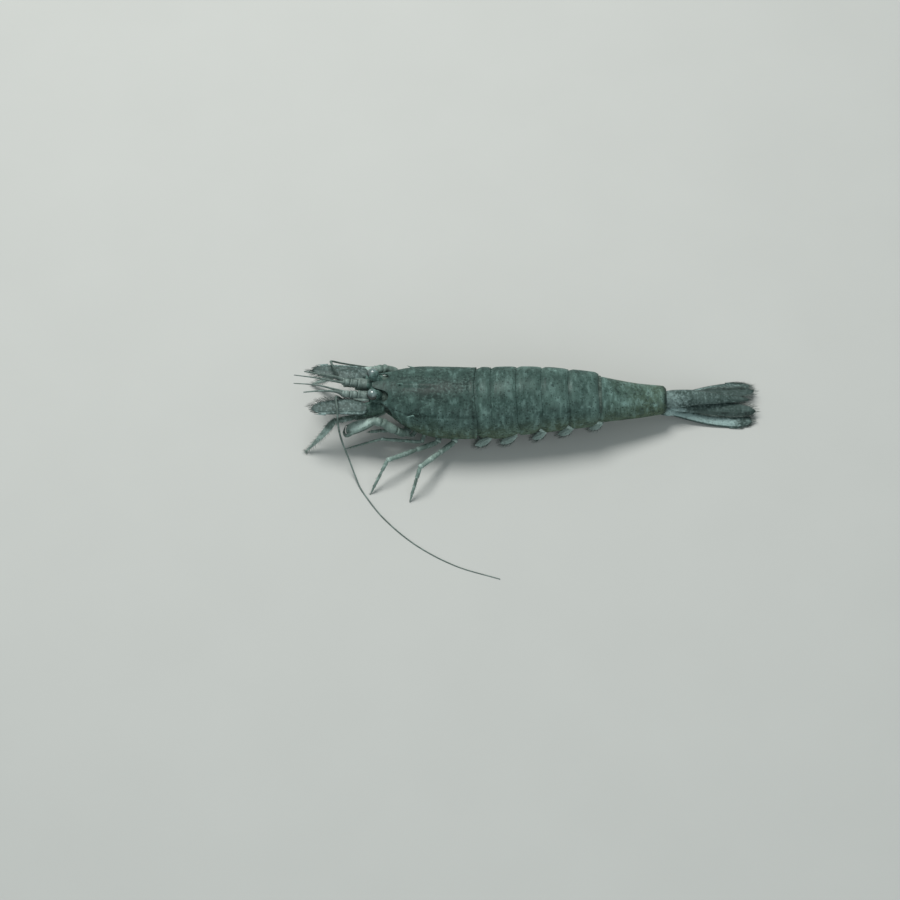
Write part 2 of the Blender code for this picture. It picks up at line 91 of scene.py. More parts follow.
# %% The body's lines
SWAY = (
    (-36, 1.7), (-26, 1.35), (-20, 1.0), (-13, 0.45), (-5, 0.0), (1, 0.0), (8, 0.38),
    (15, 0.72), (20, 0.92), (26, 1.1), (33, 1.55), (39.5, 2.45), (48, 3.45), (58, 4.05),
)
TOP = (
    (-22, 12.75), (-18.8, 12.9), (-14, 13.7), (-6, 14.4), (0, 14.3), (8, 14.4), (14, 14.1),
    (19.3, 13.3), (25, 12.1), (27, 11.4),
)
WIDE = ((-22, 11.4), (-18.8, 9.7), (-10, 7.9), (0, 7.6), (12, 7.7), (19, 7.7), (25, 7.5))
HALF_WIDTH = (
    (-22, 3.4), (-18.8, 4.5), (-16, 5.7), (-12.5, 6.7), (-8, 7.2), (0, 7.2), (4, 7.03),
    (8, 6.85), (15, 6.38), (20, 5.85), (25, 5.4), (27, 5.2),
)
CARAPACE_EDGE = (
    (-22, 11.0), (-18.8, 8.8), (-16, 7.0), (-13.5, 5.5), (-10, 4.3), (-6, 3.9), (0, 3.9),
)
PLEURA_EDGE = ((-2, 4.8), (0, 4.4), (4, 4.0), (12, 4.1), (20, 4.3), (25, 4.5), (27, 4.6))
RINGS = ((0.0, 2.7), (2.7, 7.9), (7.9, 13.1), (13.1, 18.7), (18.7, 25.0))
SIXTH_END = 39.4
TUCK = 118  # degrees from the top to a plate's lower edge
ROUNDNESS = 0.9  # 1 makes the trunk an oval, and less makes it boxier
print("rings:", len(RINGS), "and the sixth to", SIXTH_END)

# %% [markdown]
# A line through keys is a row of cubic pieces, like a curve in Blender's graph editor: it passes
# through every key and has no corners. With `along` and two soft steps, a place on the trunk
# follows from how far back it is and how far round.

# %% Reading the lines
def along(keys, place):
    """The value at each place on a smooth line through (place, value) keys."""
    stops, values = np.array(keys, float).T
    ahead = np.minimum(np.arange(len(stops)) + 1, len(stops) - 1)
    behind = np.maximum(np.arange(len(stops)) - 1, 0)
    slopes = (values[ahead] - values[behind]) / (stops[ahead] - stops[behind])
    i = np.clip(np.searchsorted(stops, place, "right") - 1, 0, len(stops) - 2)
    span = stops[i + 1] - stops[i]
    t = np.clip((place - stops[i]) / span, 0, 1)
    u = 1 - t
    bend = t * u * span * (slopes[i] * u - slopes[i + 1] * t)
    return values[i] * u * u * (1 + 2 * t) + values[i + 1] * t * t * (3 - 2 * t) + bend


def smooth(low, high, value):
    """0 below low and 1 above high, with a soft step between."""
    t = np.clip((value - low) / (high - low), 0, 1)
    return t * t * (3 - 2 * t)


def fade(low, high, value):
    """1 below low and 0 above high, with a soft step between."""
    return 1 - smooth(low, high, value)


def hump(value, middle, width):
    """1 at the middle, falling smoothly to nothing a few widths away."""
    return np.exp(-(((value - middle) / width) ** 2))


def skin(x, angle, edge):
    """The trunk's surface at x and at an angle from the top, with its lower edge at that height."""
    turn = np.radians(angle)
    side, lift = np.sin(turn), np.cos(turn)
    top, wide = along(TOP, x), along(WIDE, x)
    y = along(SWAY, x) + along(HALF_WIDTH, x) * np.sign(side) * np.abs(side) ** ROUNDNESS
    above = wide + (top - wide) * np.abs(lift) ** ROUNDNESS
    below = wide + (wide - edge) * lift / -cos(radians(TUCK))
    return np.stack(np.broadcast_arrays(x, y, np.where(lift >= 0, above, below)), -1)


def around(count):
    """Angles once round, in even steps."""
    return np.linspace(0, 2 * pi, count, endpoint=False)


def beside(points, side=RIGHT):
    """Points given as (x, distance from the body's middle line, z), on one side of the body."""
    x, off, z = np.array(points, float).T
    return np.stack([x, along(SWAY, x) + side * off, z], -1)


def curve(points, count):
    """Evenly numbered places on a smooth line through some points."""
    points = np.array(points, float)
    numbers = np.arange(len(points))
    t = np.linspace(0, len(points) - 1, count)
    return np.stack([along(list(zip(numbers, points[:, axis])), t) for axis in range(3)], -1)


# %% [markdown]
# Grooves, rims and swellings are pushes straight out of a surface, so each point of a grid needs
# that direction. A tube needs two directions across its path. They are carried along from point
# to point, because directions worked out anew at each point could twist the tube where it bends.

# %% Directions
def outwards(grid):
    """The direction straight out of a sheet at each of its points."""
    normal = np.cross(np.gradient(grid, axis=0), np.gradient(grid, axis=1))
    return normal / np.maximum(np.linalg.norm(normal, axis=-1, keepdims=True), 1e-9)


def unit(vectors):
    """The same directions with a length of 1."""
    vectors = np.asarray(vectors, float)
    return vectors / np.maximum(np.linalg.norm(vectors, axis=-1, keepdims=True), 1e-9)


def carried(path):
    """Two directions across a path at each of its points, turned only as the path bends."""
    ahead = unit(np.gradient(path, axis=0))
    over = unit(np.cross(np.cross(ahead[0], (0, 0, 1)), ahead[0]))
    overs = []
    for direction in ahead:
        over = unit(over - direction * (over @ direction))
        overs.append(over)
    overs = np.array(overs)
    return np.cross(ahead, overs), overs


# %% [markdown]
# Every piece here is a few grids of points: a plate is one open sheet, a limb is a row of tubes.
# A small class gathers such grids with the masks that the finishes will read, and then makes one
# Blender mesh of them. Making the points with NumPy keeps the shape in formulas, which is easier
# to adjust than pushing thousands of vertices around by hand.

# %% Gathering grids into pieces
MASKS = ("pale", "dark")
collection = bpy.data.collections.new("shrimp_dressed")
bpy.context.scene.collection.children.link(collection)


class Shape:
    """The points, faces and masks of one piece."""

    def __init__(self):
        self.points, self.faces, self.count = [], [], 0
        self.masks = {mask: [] for mask in MASKS}

    def add(self, points, faces, **masks):
        self.points.append(points)
        self.faces += [[corner + self.count for corner in face] for face in faces]
        self.count += len(points)
        for mask in MASKS:
            value = np.clip(masks.get(mask, 0.0), 0, 1)
            self.masks[mask].append(np.broadcast_to(value, len(points)).astype(np.float32))

    def sheet(self, grid, tube=False, **masks):
        """A grid of points as faces. In a tube the columns join, and both ends are closed."""
        rows, columns = grid.shape[:2]
        faces = []
        for row in range(rows - 1):
            for k in range(columns if tube else columns - 1):
                first, second = row * columns + k, row * columns + (k + 1) % columns
                faces.append((first, first + columns, second + columns, second))
        if tube:
            faces.append(tuple(range(columns)))
            faces.append(tuple(range((rows - 1) * columns, rows * columns))[::-1])
        flat = {mask: np.broadcast_to(v, (rows, columns)).ravel() for mask, v in masks.items()}
        self.add(grid.reshape(-1, 3), faces, **flat)

    def tube(self, path, radii, sides, flat=1.0, **masks):
        """A round or flattened tube along a path, closed at its ends. Masks are given by point."""
        across, over = carried(path)
        turn = around(sides)[:, None]
        radii = np.broadcast_to(radii, len(path))[:, None, None]
        ring = across[:, None] * np.cos(turn) + over[:, None] * np.sin(turn) * flat
        grid = np.asarray(path)[:, None] + ring * radii
        spread = {mask: np.broadcast_to(v, len(path))[:, None] for mask, v in masks.items()}
        self.sheet(grid, tube=True, **spread)

    def stem(self, points, profile, count, sides, flat=1.0, **masks):
        """A tube on a smooth line through some points, with (share of it, radius) keys."""
        radii = along(profile, np.linspace(0, 1, count))
        self.tube(curve(points, count), radii, sides, flat, **masks)

    def piece(self, name, finish, slot, nodes=(), thickness=0.0):
        """Makes the mesh with its finish, hangs it on the root and hides the solids it stands for.
        The slot is not used.
        """
        mesh = bpy.data.meshes.new(name)
        mesh.from_pydata(world(np.concatenate(self.points)).tolist(), [], self.faces)
        for mask, values in self.masks.items():
            layer = mesh.attributes.new(mask, "FLOAT", "POINT")
            layer.data.foreach_set("value", np.concatenate(values))
        if not thickness:
            shell = bmesh.new()
            shell.from_mesh(mesh)
            bmesh.ops.recalc_face_normals(shell, faces=shell.faces)
            shell.to_mesh(mesh)
            shell.free()
        mesh.materials.append(finish)
        mesh.shade_smooth()
        obj = bpy.data.objects.new(name, mesh)
        collection.objects.link(obj)
        if thickness:
            wall = obj.modifiers.new("wall", "SOLIDIFY")
            wall.thickness = thickness * UNIT
            wall.offset = -1
        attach(obj, "root")
        if nodes:
            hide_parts(*nodes)
        print(f"{name}: {len(mesh.polygons)} faces")
        return obj


# %% [markdown]
# Shader nodes are easier to read as formulas. `Value` wraps one socket, so that `1 - mask` or
# `a * b` adds the Math nodes by itself, and `Finish.node` adds any other node from its type, its
# settings and the values or links of its sockets. Colours and vectors have their own helpers,
# because a Math node would turn them grey.

# %% Shader formulas
class Value:
    """A socket of a finish, which Python's operators work on."""

    def __init__(self, finish, socket):
        self.finish, self.socket = finish, socket

    def math(self, operation, first, second):
        return self.finish.node("Math", {"operation": operation}, {0: first, 1: second})

    def __add__(self, other):
        return self.math("ADD", self, other)

    def __sub__(self, other):
        return self.math("SUBTRACT", self, other)

    def __rsub__(self, other):
        return self.math("SUBTRACT", other, self)

    def __mul__(self, other):
        return self.math("MULTIPLY", self, other)

    __radd__ = __add__
    __rmul__ = __mul__


class Finish:
    """A material in the making."""

    def __init__(self, name, **constants):
        self.material = bpy.data.materials.new(name)
        self.material.use_nodes = True
        self.tree = self.material.node_tree
        self.surface = self.tree.nodes["Principled BSDF"]
        for socket, value in constants.items():
            self.surface.inputs[socket.replace("_", " ")].default_value = value
        self.place = self.node("TexCoord", {}, {}, "Object")

    def node(self, kind, settings, inputs, output=0):
        """A node of a kind, with its settings first and then its inputs, as values or links."""
        made = self.tree.nodes.new("ShaderNode" + kind)
        for setting, value in settings.items():
            setattr(made, setting, value)
        for key, value in inputs.items():
            if isinstance(value, Value):
                self.tree.links.new(value.socket, made.inputs[key])
            else:
                made.inputs[key].default_value = value
        return Value(self, made.outputs[output])

    def feed(self, socket, value):
        self.tree.links.new(value.socket, self.surface.inputs[socket])

    def mix(self, share, first, second):
        """A colour between two colours."""
        inputs = {0: share, 6: first, 7: second}
        return self.node("Mix", {"data_type": "RGBA"}, inputs, 2)

    def step(self, value, low, high):
        """0 where the value is low and 1 where it is high, softly between."""
        inputs = {"Value": value, "From Min": low, "From Max": high}
        return self.node("MapRange", {"interpolation_type": "SMOOTHSTEP"}, inputs)

    def noise(self, size, detail=2.0, place=None):
        """Cloudy noise whose clouds have about this size in metres."""
        inputs = {"Vector": place or self.place, "Scale": 1 / size, "Detail": detail}
        return self.node("TexNoise", {}, inputs, "Fac")

    def dots(self, spacing, radius, place):
        """Round dots, one in each cell of this size, of varied radius up to a share of the cell."""
        inputs = {"Vector": place, "Scale": 1 / spacing}
        cell = {"feature": "F1"}
        distance = self.node("TexVoronoi", cell, inputs, "Distance")
        tint = self.node("TexVoronoi", cell, inputs, "Color")
        size = self.node("SeparateColor", {}, {0: tint}, 0) * radius
        return 1 - self.step(distance - size, -0.12, 0.02)

    def mask(self, name):
        return self.node("Attribute", {"attribute_name": name}, {}, "Fac")

    def bump(self, height, distance, strength=1.0):
        inputs = {"Height": height, "Distance": distance, "Strength": strength}
        self.feed("Normal", self.node("Bump", {}, inputs))


def rgb(red, green, blue):
    return (red, green, blue, 1.0)


# %% [markdown]
# A brown shrimp's shell is thin, hard and a little translucent, with a satin gloss. Its colour
# comes from thousands of pigment cells: fine dark dots on a grey-olive ground, gathered into
# clouds, with paler flecks between them. So the finish layers noise of several sizes with dots
# from a Voronoi pattern, and two masks painted on the mesh add the pale marks and dark bands
# that sit at fixed places on the body. The same two masks also carry painted light and painted
# shade: painted shade in grooves, under overlapping plates, along the back, on the tail leaves
# and under the hand, and painted light on the hand's top and the tail's outer leaves. Streaks
# run round the body, and low on the flanks the ground turns olive.

# %% Chitin finishes
OLIVE = rgb(0.092, 0.122, 0.068)  # of the lower flanks
FLANK_HEIGHTS = (5.5 * MM, 11.5 * MM)  # where the olive starts to fade and where it has ended
GIRDLE = (1.0, 0.35, 0.35)  # stretches the streaks round the body
RELIEF = 0.02 * MM
DOT_RAGGEDNESS = 0.16 * MM


def darker(colour, share):
    return rgb(*(share * channel for channel in colour[:3]))


def chitin(name, deep, ground, pale, roughness, dot_share, streak_share=0.2, olive_share=0.0):
    look = Finish(name, IOR=1.2, Coat_Roughness=0.3)
    clouds = look.noise(3.4 * MM, 3.0)
    grain = look.noise(0.45 * MM, 3.0)
    girdled = look.node("VectorMath", {"operation": "MULTIPLY"}, {0: look.place, 1: GIRDLE})
    streaks = look.noise(0.8 * MM, 3.0, girdled)
    push = look.node("TexNoise", {}, {"Vector": look.place, "Scale": 1 / (0.25 * MM)}, "Color")
    ragged = {0: push, 1: (DOT_RAGGEDNESS,) * 3, 2: look.place}
    ragged = look.node("VectorMath", {"operation": "MULTIPLY_ADD"}, ragged)
    fine = look.dots(0.38 * MM, 0.42, ragged)
    coarse = look.dots(1.1 * MM, 0.34, ragged)
    flecks = look.dots(1.7 * MM, 0.24, ragged)
    height = look.node("SeparateXYZ", {}, {0: look.place}, 2)
    low = 1 - look.step(height + clouds * (3 * MM), *FLANK_HEIGHTS)
    darkest, shaded = darker(deep, 0.32), darker(deep, 0.42)
    colour = look.mix(look.step(clouds, 0.35, 0.68), deep, ground)
    colour = look.mix(low * olive_share, colour, OLIVE)
    colour = look.mix(look.step(grain, 0.45, 0.75) * 0.35, colour, pale)
    colour = look.mix(flecks * 0.35, colour, pale)
    colour = look.mix(look.step(streaks, 0.53, 0.66) * streak_share, colour, pale)
    colour = look.mix((1 - look.step(streaks, 0.36, 0.48)) * streak_share, colour, darkest)
    # The pale mask holds pale marks and also painted light, and the dark mask holds dark marks and
    # also painted shade.
    pale_marks_and_painted_light = look.step(look.mask("pale") * 0.9 + (grain + clouds) * 0.65, 0.9, 1.5)
    colour = look.mix(pale_marks_and_painted_light * 0.9, colour, pale)
    colour = look.mix(look.mask("dark") * look.step(grain + clouds, 0.7, 1.25), colour, shaded)
    colour = look.mix(fine * dot_share, colour, darkest)
    colour = look.mix(coarse * dot_share * 0.8, colour, darkest)
    look.feed("Base Color", colour)
    look.feed("Roughness", roughness + 0.1 + grain * 0.2)
    look.feed("Coat Weight", 0.02 + clouds * 0.1)
    look.bump(grain + coarse * 0.4, RELIEF)
    return look.material


shell_finish = chitin(
    "shell_finish", rgb(0.042, 0.079, 0.069), rgb(0.093, 0.159, 0.140), rgb(0.205, 0.325, 0.30),
    roughness=0.42, dot_share=0.7, streak_share=0.34, olive_share=0.7,
)
limb_finish = chitin(
    "limb_finish", rgb(0.115, 0.165, 0.145), rgb(0.22, 0.30, 0.27), rgb(0.42, 0.54, 0.50),
    roughness=0.34, dot_share=0.4,
)
fan_finish = chitin(
    "fan_finish", rgb(0.042, 0.066, 0.060), rgb(0.078, 0.116, 0.107), rgb(0.33, 0.45, 0.44),
    roughness=0.42, dot_share=0.4, streak_share=0.12,
)
feeler_finish = chitin(
    "feeler_finish", rgb(0.105, 0.143, 0.130), rgb(0.182, 0.235, 0.216), rgb(0.30, 0.385, 0.36),
    roughness=0.45, dot_share=0.35,
)
soft_finish = chitin(
    "soft_finish", rgb(0.036, 0.056, 0.048), rgb(0.070, 0.104, 0.091), rgb(0.24, 0.32, 0.28),
    roughness=0.5, dot_share=0.3,
)

# %% [markdown]
# The eye's cornea is nearly black and wet, with a very fine honeycomb of facets and a pale sheen
# on top. Hairs are one dull colour with slow changes, darker in the fringes of the fan.

# %% Cornea and hair finishes
def cornea():
    look = Finish("cornea_finish", Roughness=0.12, IOR=1.5, Coat_Weight=0.5, Coat_Roughness=0.05)
    cells = {"Vector": look.place, "Scale": 1 / (0.09 * MM)}
    facets = look.node("TexVoronoi", {"feature": "F1"}, cells, "Distance")
    tint = look.step(look.noise(0.7 * MM), 0.35, 0.65)
    colour = look.mix(tint, rgb(0.006, 0.009, 0.008), rgb(0.024, 0.030, 0.026))
    sheen = look.mask("pale") * (0.6 + tint * 0.4)
    look.feed("Base Color", look.mix(sheen, colour, rgb(0.17, 0.24, 0.235)))
    look.bump(1 - facets, RELIEF, 0.5)
    return look.material


eye_finish = cornea()


def hair(name, deep, pale):
    look = Finish(name, Roughness=0.5, IOR=1.45)
    tint = look.step(look.noise(1.6 * MM), 0.35, 0.65)
    look.feed("Base Color", look.mix(tint, deep, pale))
    return look.material


hair_finish = hair("hair_finish", rgb(0.10, 0.13, 0.115), rgb(0.21, 0.265, 0.24))
fringe_finish = hair("fringe_finish", rgb(0.045, 0.064, 0.058), rgb(0.125, 0.165, 0.152))

# %% [markdown]
# The shell's larger marks come in pairs, the same on both sides: pale patches here, a dark saddle
# there. Two tables list them for carapace and abdomen alike, so that a mark may run on from one
# plate to the next. The plates are open sheets, and a Solidify modifier gives them the thin wall
# that one sees where they end.

# %% Marks and plates
# x, angle from the top, length, and width in degrees
PALE_SPOTS = (
    (-10.0, 33, 1.3, 7), (-6.6, 57, 1.3, 6), (-13.5, 30, 1.0, 12), (-2.4, 66, 0.9, 5),
    (1.9, 47, 0.9, 6), (6.4, 54, 0.9, 4), (8.7, 34, 0.8, 5), (12.6, 50, 1.1, 6),
    (16.2, 30, 0.8, 5), (21.6, 23, 0.8, 5), (23.0, 48, 0.9, 6),
)
DARK_SPOTS = (
    (-4.8, 14, 3.6, 10), (-11.5, 60, 1.6, 8), (5.0, 22, 1.0, 8), (10.6, 24, 1.2, 9),
    (15.5, 52, 1.2, 7), (18.6, 58, 1.0, 8), (20.8, 40, 1.0, 6),
)


def spots(table, x, flank):
    """The marks of a table at x and at an angle from the top."""
    spread = 0
    for place, angle, length, width in table:
        spread = spread + hump(x, place, length) * hump(flank, angle, width)
    return np.clip(spread, 0, 1)


CARAPACE_NOTCH, RING_NOTCH = 0.75, 0.45  # depths on the middle line


def notch(depth, angle):
    """How far a plate's rear edge is drawn forwards at an angle from the top."""
    return depth * hump(angle, 0, 48)


def plate(name, node, grid, x, flank, pale, dark, thickness):
    """A shell plate with the marks of its place. Dark ones are weaker on pale ones."""
    light = spots(PALE_SPOTS, x, flank)
    dark = (dark + 0.8 * spots(DARK_SPOTS, x, flank)) * (1 - 0.6 * light)
    shape = Shape()
    shape.sheet(grid, pale=pale + 0.5 * light, dark=dark)
    shape.piece(name, shell_finish, "shell", [node], thickness=thickness)


# %% [markdown]
# The carapace is one shield over head and thorax. Its front edge is the shrimp's face: a short
# blunt rostrum between two hollows for the eyes, then a tooth below each eye and a small one at
# the lower corner. Here every column of the grid starts on that edge and runs to the rear one,
# so that the edge is a real outline and not a picture of one. Grooves, ridges and a rolled rim
# are pushes along the surface's own direction, and the spines are small cones.

# %% Carapace
FRONT_EDGE = (
    (0, -21.6), (6, -21.5), (10, -20.9), (13, -19.7), (17, -18.7), (26, -18.2), (40, -18.5),
    (50, -19.2), (55, -20.2), (59, -19.0), (66, -18.2), (85, -17.5), (102, -17.7), (109, -18.5),
    (113, -17.6), (118, -16.8),
)


def groove(x, angle, line, width):
    """1 on a line across the carapace, given as (angle, x) keys, and 0 away from it."""
    stops = [key[0] for key in line]
    inside = smooth(stops[0] - 6, stops[0], angle) * fade(stops[-1], stops[-1] + 6, angle)
    return hump(x, along(line, np.clip(angle, stops[0], stops[-1])), width) * inside


THORN = np.array((1.0, 0.8, 0.55, 0.3, 0.06))


def thorn(shape, root, tip, radius, **masks):
    """A small spine, which narrows as THORN says."""
    shape.tube(np.linspace(root, tip, len(THORN)), radius * THORN, 8, **masks)


def carapace():
    angle = np.linspace(-TUCK, TUCK, 177)[None, :]
    flank = np.abs(angle)
    start = along(FRONT_EDGE, flank)
    end = -notch(CARAPACE_NOTCH, angle)
    x = end + (start - end) * (1 - np.linspace(0, 1, 121)[:, None] ** 1.15)
    grid = skin(x, angle, along(CARAPACE_EDGE, x))
    out = outwards(grid)
    neck = groove(x, flank, ((0, -8.9), (22, -9.6), (45, -11.8), (66, -14.2)), 0.6)
    neck = neck * smooth(5, 45, flank)
    gill = groove(flank, x, ((-14.2, 64), (-9, 58), (-3, 57)), 3.2)
    lower = groove(flank, x, ((-16.5, 88), (-9, 84), (-3, 88)), 3.5)
    rim = hump(x, end - 0.95, 0.3)
    edge = hump(flank, TUCK, 2.6)
    cheek = hump(x, -12.5, 3.0) * hump(flank, 78, 16)
    keel = hump(flank, 0, 3.5) * smooth(-16.5, -14.5, x) * fade(-12, -6, x)
    ripple = np.sin(x * 2.1 + flank * 0.11) * np.sin(x * 0.9 - flank * 0.17)
    push = -0.16 * neck - 0.13 * gill - 0.08 * lower - 0.04 * rim + 0.1 * edge
    push = push + 0.18 * cheek + 0.16 * keel + 0.018 * ripple
    grid = grid + out * push[..., None]
    pale = 0.5 * hump(flank, TUCK, 2.0)
    # The grooves are darkened as painted shade.
    dark = 0.5 * hump(x, end - 0.6, 0.3) + 0.3 * neck + 0.2 * gill
    # Darker along the back: partly the shrimp's own darker back and partly painted shade that damps
    # the lamp's light on top.
    dark = dark + 0.95 * fade(15, 100, flank)
    plate("carapace_shield", "carapace", grid, x, flank, pale, dark, thickness=0.32)


carapace()

spines = Shape()
crest = skin(-15.6, 0.0, 6.0)
thorn(spines, crest + (0.9, 0, -0.25), crest + (-0.9, 0, 0.55), 0.34, pale=0.4)
for side in SIDES:
    liver = skin(-13.4, side * 63.0, 5.4)
    root, tip = liver + (0.6, -0.2 * side, -0.1), liver + (-1.1, 0.35 * side, 0.12)
    thorn(spines, root, tip, 0.27, pale=0.4)
spines.piece("carapace_spines", shell_finish, "shell")

# %% [markdown]
# Each ring of the abdomen is a plate that slides under the one in front of it when the tail
# curls, and its sides hang down as rounded flaps. The second ring's flap lies over both its
# neighbours', which is how one tells a shrimp of this group. Every plate is its own sheet with a
# sunken front, a swollen middle and a rear edge that bends in a little, so that the overlap is
# real.

# %% Plates of the abdomen
def ring_plate(number, start, end):
    angle = np.linspace(-TUCK, TUCK, 141)[None, :]
    flank = np.abs(angle)
    t = np.linspace(0, 1, 44)[:, None]
    overlapping = number == 2
    lobe = smooth(72, 104, flank) * overlapping
    first = start - (1.8 if number == 1 else 1.0) - 1.3 * lobe
    forwards = notch(CARAPACE_NOTCH if number == 1 else RING_NOTCH, flank)
    last = end + 0.3 + 1.15 * lobe - notch(RING_NOTCH, flank)
    last = last - 0.5 * smooth(85, 118, flank) * (not overlapping)
    x = first + (last - first) * t
    front_corner, rear_corner = fade(0.0, 0.42, t), smooth(0.62, 1.0, t) ** 2
    rounded = 1.5 * front_corner + (0.9 if number < 4 else 0.45) * rear_corner
    if overlapping:
        rounded = 1.7 * fade(0.0, 0.4, t) + 1.5 * smooth(0.6, 1.0, t)
    grid = skin(x, angle, along(PLEURA_EDGE, x) + rounded)
    out = outwards(grid)
    sunk = -0.37 * fade(start, start + 1.4, x + forwards) * (1 - lobe)
    rim = -(0.09 if number < 5 else 0.28) * smooth(last - 0.9, last, x)
    swell = 0.06 * np.sin(np.clip((x - start) / (end - start), 0, 1) * pi)
    hinge = 0.14 * hump(x, start + 1.3, 0.5) * hump(flank, 88, 5) * (not overlapping)
    margin = 0.09 * hump(flank, TUCK, 2.4)
    push = sunk + rim + swell + hinge + margin + 0.3 * lobe
    grid = grid + out * push[..., None]
    pale = 0.45 * hump(flank, TUCK, 2.2)
    # The sunken front is darkened as painted shade, where it lies under the plate in front.
    dark = 0.35 * fade(start + 0.1, start + 1.3, x + forwards) * (1 - lobe)
    # A dark line before the rear rim, and darker along the back: partly the shrimp's own darker
    # back and partly painted shade that damps the lamp's light on top.
    dark = dark + 0.3 * hump(x, last - 0.3, 0.3) + 0.42 * fade(5, 70, flank)
    plate(f"ring_{number}", f"somite_{number}", grid, x, flank, pale, dark, thickness=0.26)


for number, (start, end) in enumerate(RINGS, start=1):
    ring_plate(number, start, end)

# %% [markdown]
# The sixth ring carries the tail fan. It is longer than the others and closed below, so it is a
# tube: arched above, a little hollow underneath, with a low ridge on each shoulder and a dark
# rear rim.

# %% Sixth ring
SIXTH_TOP = ((24, 11.5), (25, 11.2), (33, 8.9), (39.5, 7.1))
SIXTH_BOTTOM = ((24, 3.3), (25, 3.1), (33, 2.3), (39.5, 1.8))
SIXTH_HALF_WIDTH = ((24, 5.3), (25, 5.1), (28, 4.6), (33, 3.8), (39.5, 2.95))


def oval(x, turn, half_width, bottom, top):
    """A round section of the body at x. turn is 0 at the right side and a quarter turn on top."""
    middle, high = (top + bottom) / 2, (top - bottom) / 2
    y = along(SWAY, x) + half_width * np.cos(turn)
    return np.stack(np.broadcast_arrays(x, y, middle + high * np.sin(turn)), -1)


def sixth_ring():
    turn = around(96)[None, :]
    x = np.linspace(24.4, SIXTH_END + 0.1, 76)[:, None]
    grid = oval(x, turn, along(SIXTH_HALF_WIDTH, x), along(SIXTH_BOTTOM, x), along(SIXTH_TOP, x))
    out = -outwards(grid)
    lift = np.sin(turn)
    sunk = -0.18 * fade(25.2, 26.0, x)
    rim = -0.5 * smooth(SIXTH_END - 0.7, SIXTH_END + 0.1, x) ** 2
    shoulder = 0.12 * hump(lift, 0.25, 0.14) * smooth(26, 31, x)
    belly = -0.35 * hump(lift, -1, 0.35) * smooth(26, 29, x)
    grid = grid + out * (sunk + rim + shoulder + belly)[..., None]
    # The rear rim is dark, and the sunken front is darkened as painted shade under the fifth ring.
    dark = 0.9 * smooth(SIXTH_END - 1.3, SIXTH_END - 0.4, x) + 0.35 * fade(25.2, 26.3, x)
    dark = dark + 0.4 * hump(x, 33.2, 1.6) * hump(lift, 0.5, 0.2)
    dark = dark + 0.3 * hump(x, 28.4, 1.0) * hump(lift, 0.3, 0.2)
    pale = 0.6 * hump(x, 30.4, 1.0) * hump(lift, 0.8, 0.1)
    pale = pale + 0.6 * hump(x, 36.8, 1.1) * hump(lift, 0.69, 0.15)
    pale = pale + 0.6 * hump(x, 27.8, 0.7) * hump(lift, 0.99, 0.02) + 0.4 * smooth(0.3, 0.9, -lift)
    shape = Shape()
    shape.sheet(grid, tube=True, pale=pale, dark=dark)
    shape.piece("ring_6", shell_finish, "shell", ["somite_6"])


sixth_ring()

# %% [markdown]
# Under the plates the body is soft. Where rings part, a thin skin bridges them, and on the belly
# each ring has a firm cross bar that its swimming limbs hang from. One long inner body, a little
# smaller than the shell, shows in all those gaps, so nothing looks hollow from any side.

# %% Soft underside
BELLY_HALF_WIDTH = (
    (-20, 2.4), (-18.6, 2.7), (-15, 3.2), (-12, 3.8), (-8, 4.2), (0, 4.4), (12, 4.1), (26, 3.3),
)
BELLY_BOTTOM = (
    (-20, 5.6), (-18.6, 5.0), (-16, 3.7), (-13.5, 2.8), (-10, 2.4), (-2, 2.5), (3, 4.4),
    (8, 5.0), (26, 4.4),
)
THORAX_BARS = (-13.8, -11.6, -9.6, -6.9, -3.9)


def soft_body():
    turn = around(72)[None, :]
    x = np.linspace(-19.5, 25.6, 340)[:, None]
    lift = np.abs(np.sin(turn))
    middle = along(WIDE, x) - 1.0
    trunk = oval(x, turn, along(HALF_WIDTH, x) - 0.95, middle, along(TOP, x) - 0.8)
    low = along(BELLY_BOTTOM, x)
    belly_side = along(BELLY_HALF_WIDTH, x) * np.cos(turn) * np.abs(np.cos(turn)) ** 0.25
    belly_side = along(SWAY, x) + belly_side
    under = np.sin(turn) < 0
    z = np.where(under, low + (middle - low) * (1 - lift**0.55), trunk[..., 2])
    y = belly_side + (trunk[..., 1] - belly_side) * (1 - lift) ** 2
    y = np.where(under, y, trunk[..., 1])
    grid = np.stack(np.broadcast_arrays(x, y, z), -1)
    bars = sum(hump(x, end - 0.9, 0.5) for start, end in RINGS)
    bars = bars + sum(hump(x, place, 0.55) for place in THORAX_BARS)
    downward = smooth(0.55, 0.95, -np.sin(turn))
    seam = hump(np.cos(turn), 0, 0.16) * smooth(-16, -12, x) * fade(-3, 0, x)
    grid[..., 2] += (0.22 * seam - 0.32 * bars) * downward
    shape = Shape()
    shape.sheet(grid, tube=True, pale=0.5 * np.clip(bars, 0, 1))
    shape.piece("soft_body", soft_finish, "underside", ["thorax_underside"])


soft_body()
print("body done")

# %% [markdown]
# Tail fan, antennal scales and swimming limbs are all leaves. A leaf is a closed tube that is
# very flat, with its own outline on each edge, a slight arch across it and raised ribs that
# stiffen it. Its edges also tell where the fringe of hairs grows, so they are kept for later.

# %% Leaves
LEAF_ROWS = 64
LEAF_TURN = around(44)[None, :]
TO_TIP = np.linspace(0, 1, LEAF_ROWS)[:, None]  # 0 at a leaf's base and 1 at its tip
TO_EDGE = np.cos(LEAF_TURN)  # 1 at its outer edge and -1 at its inner edge


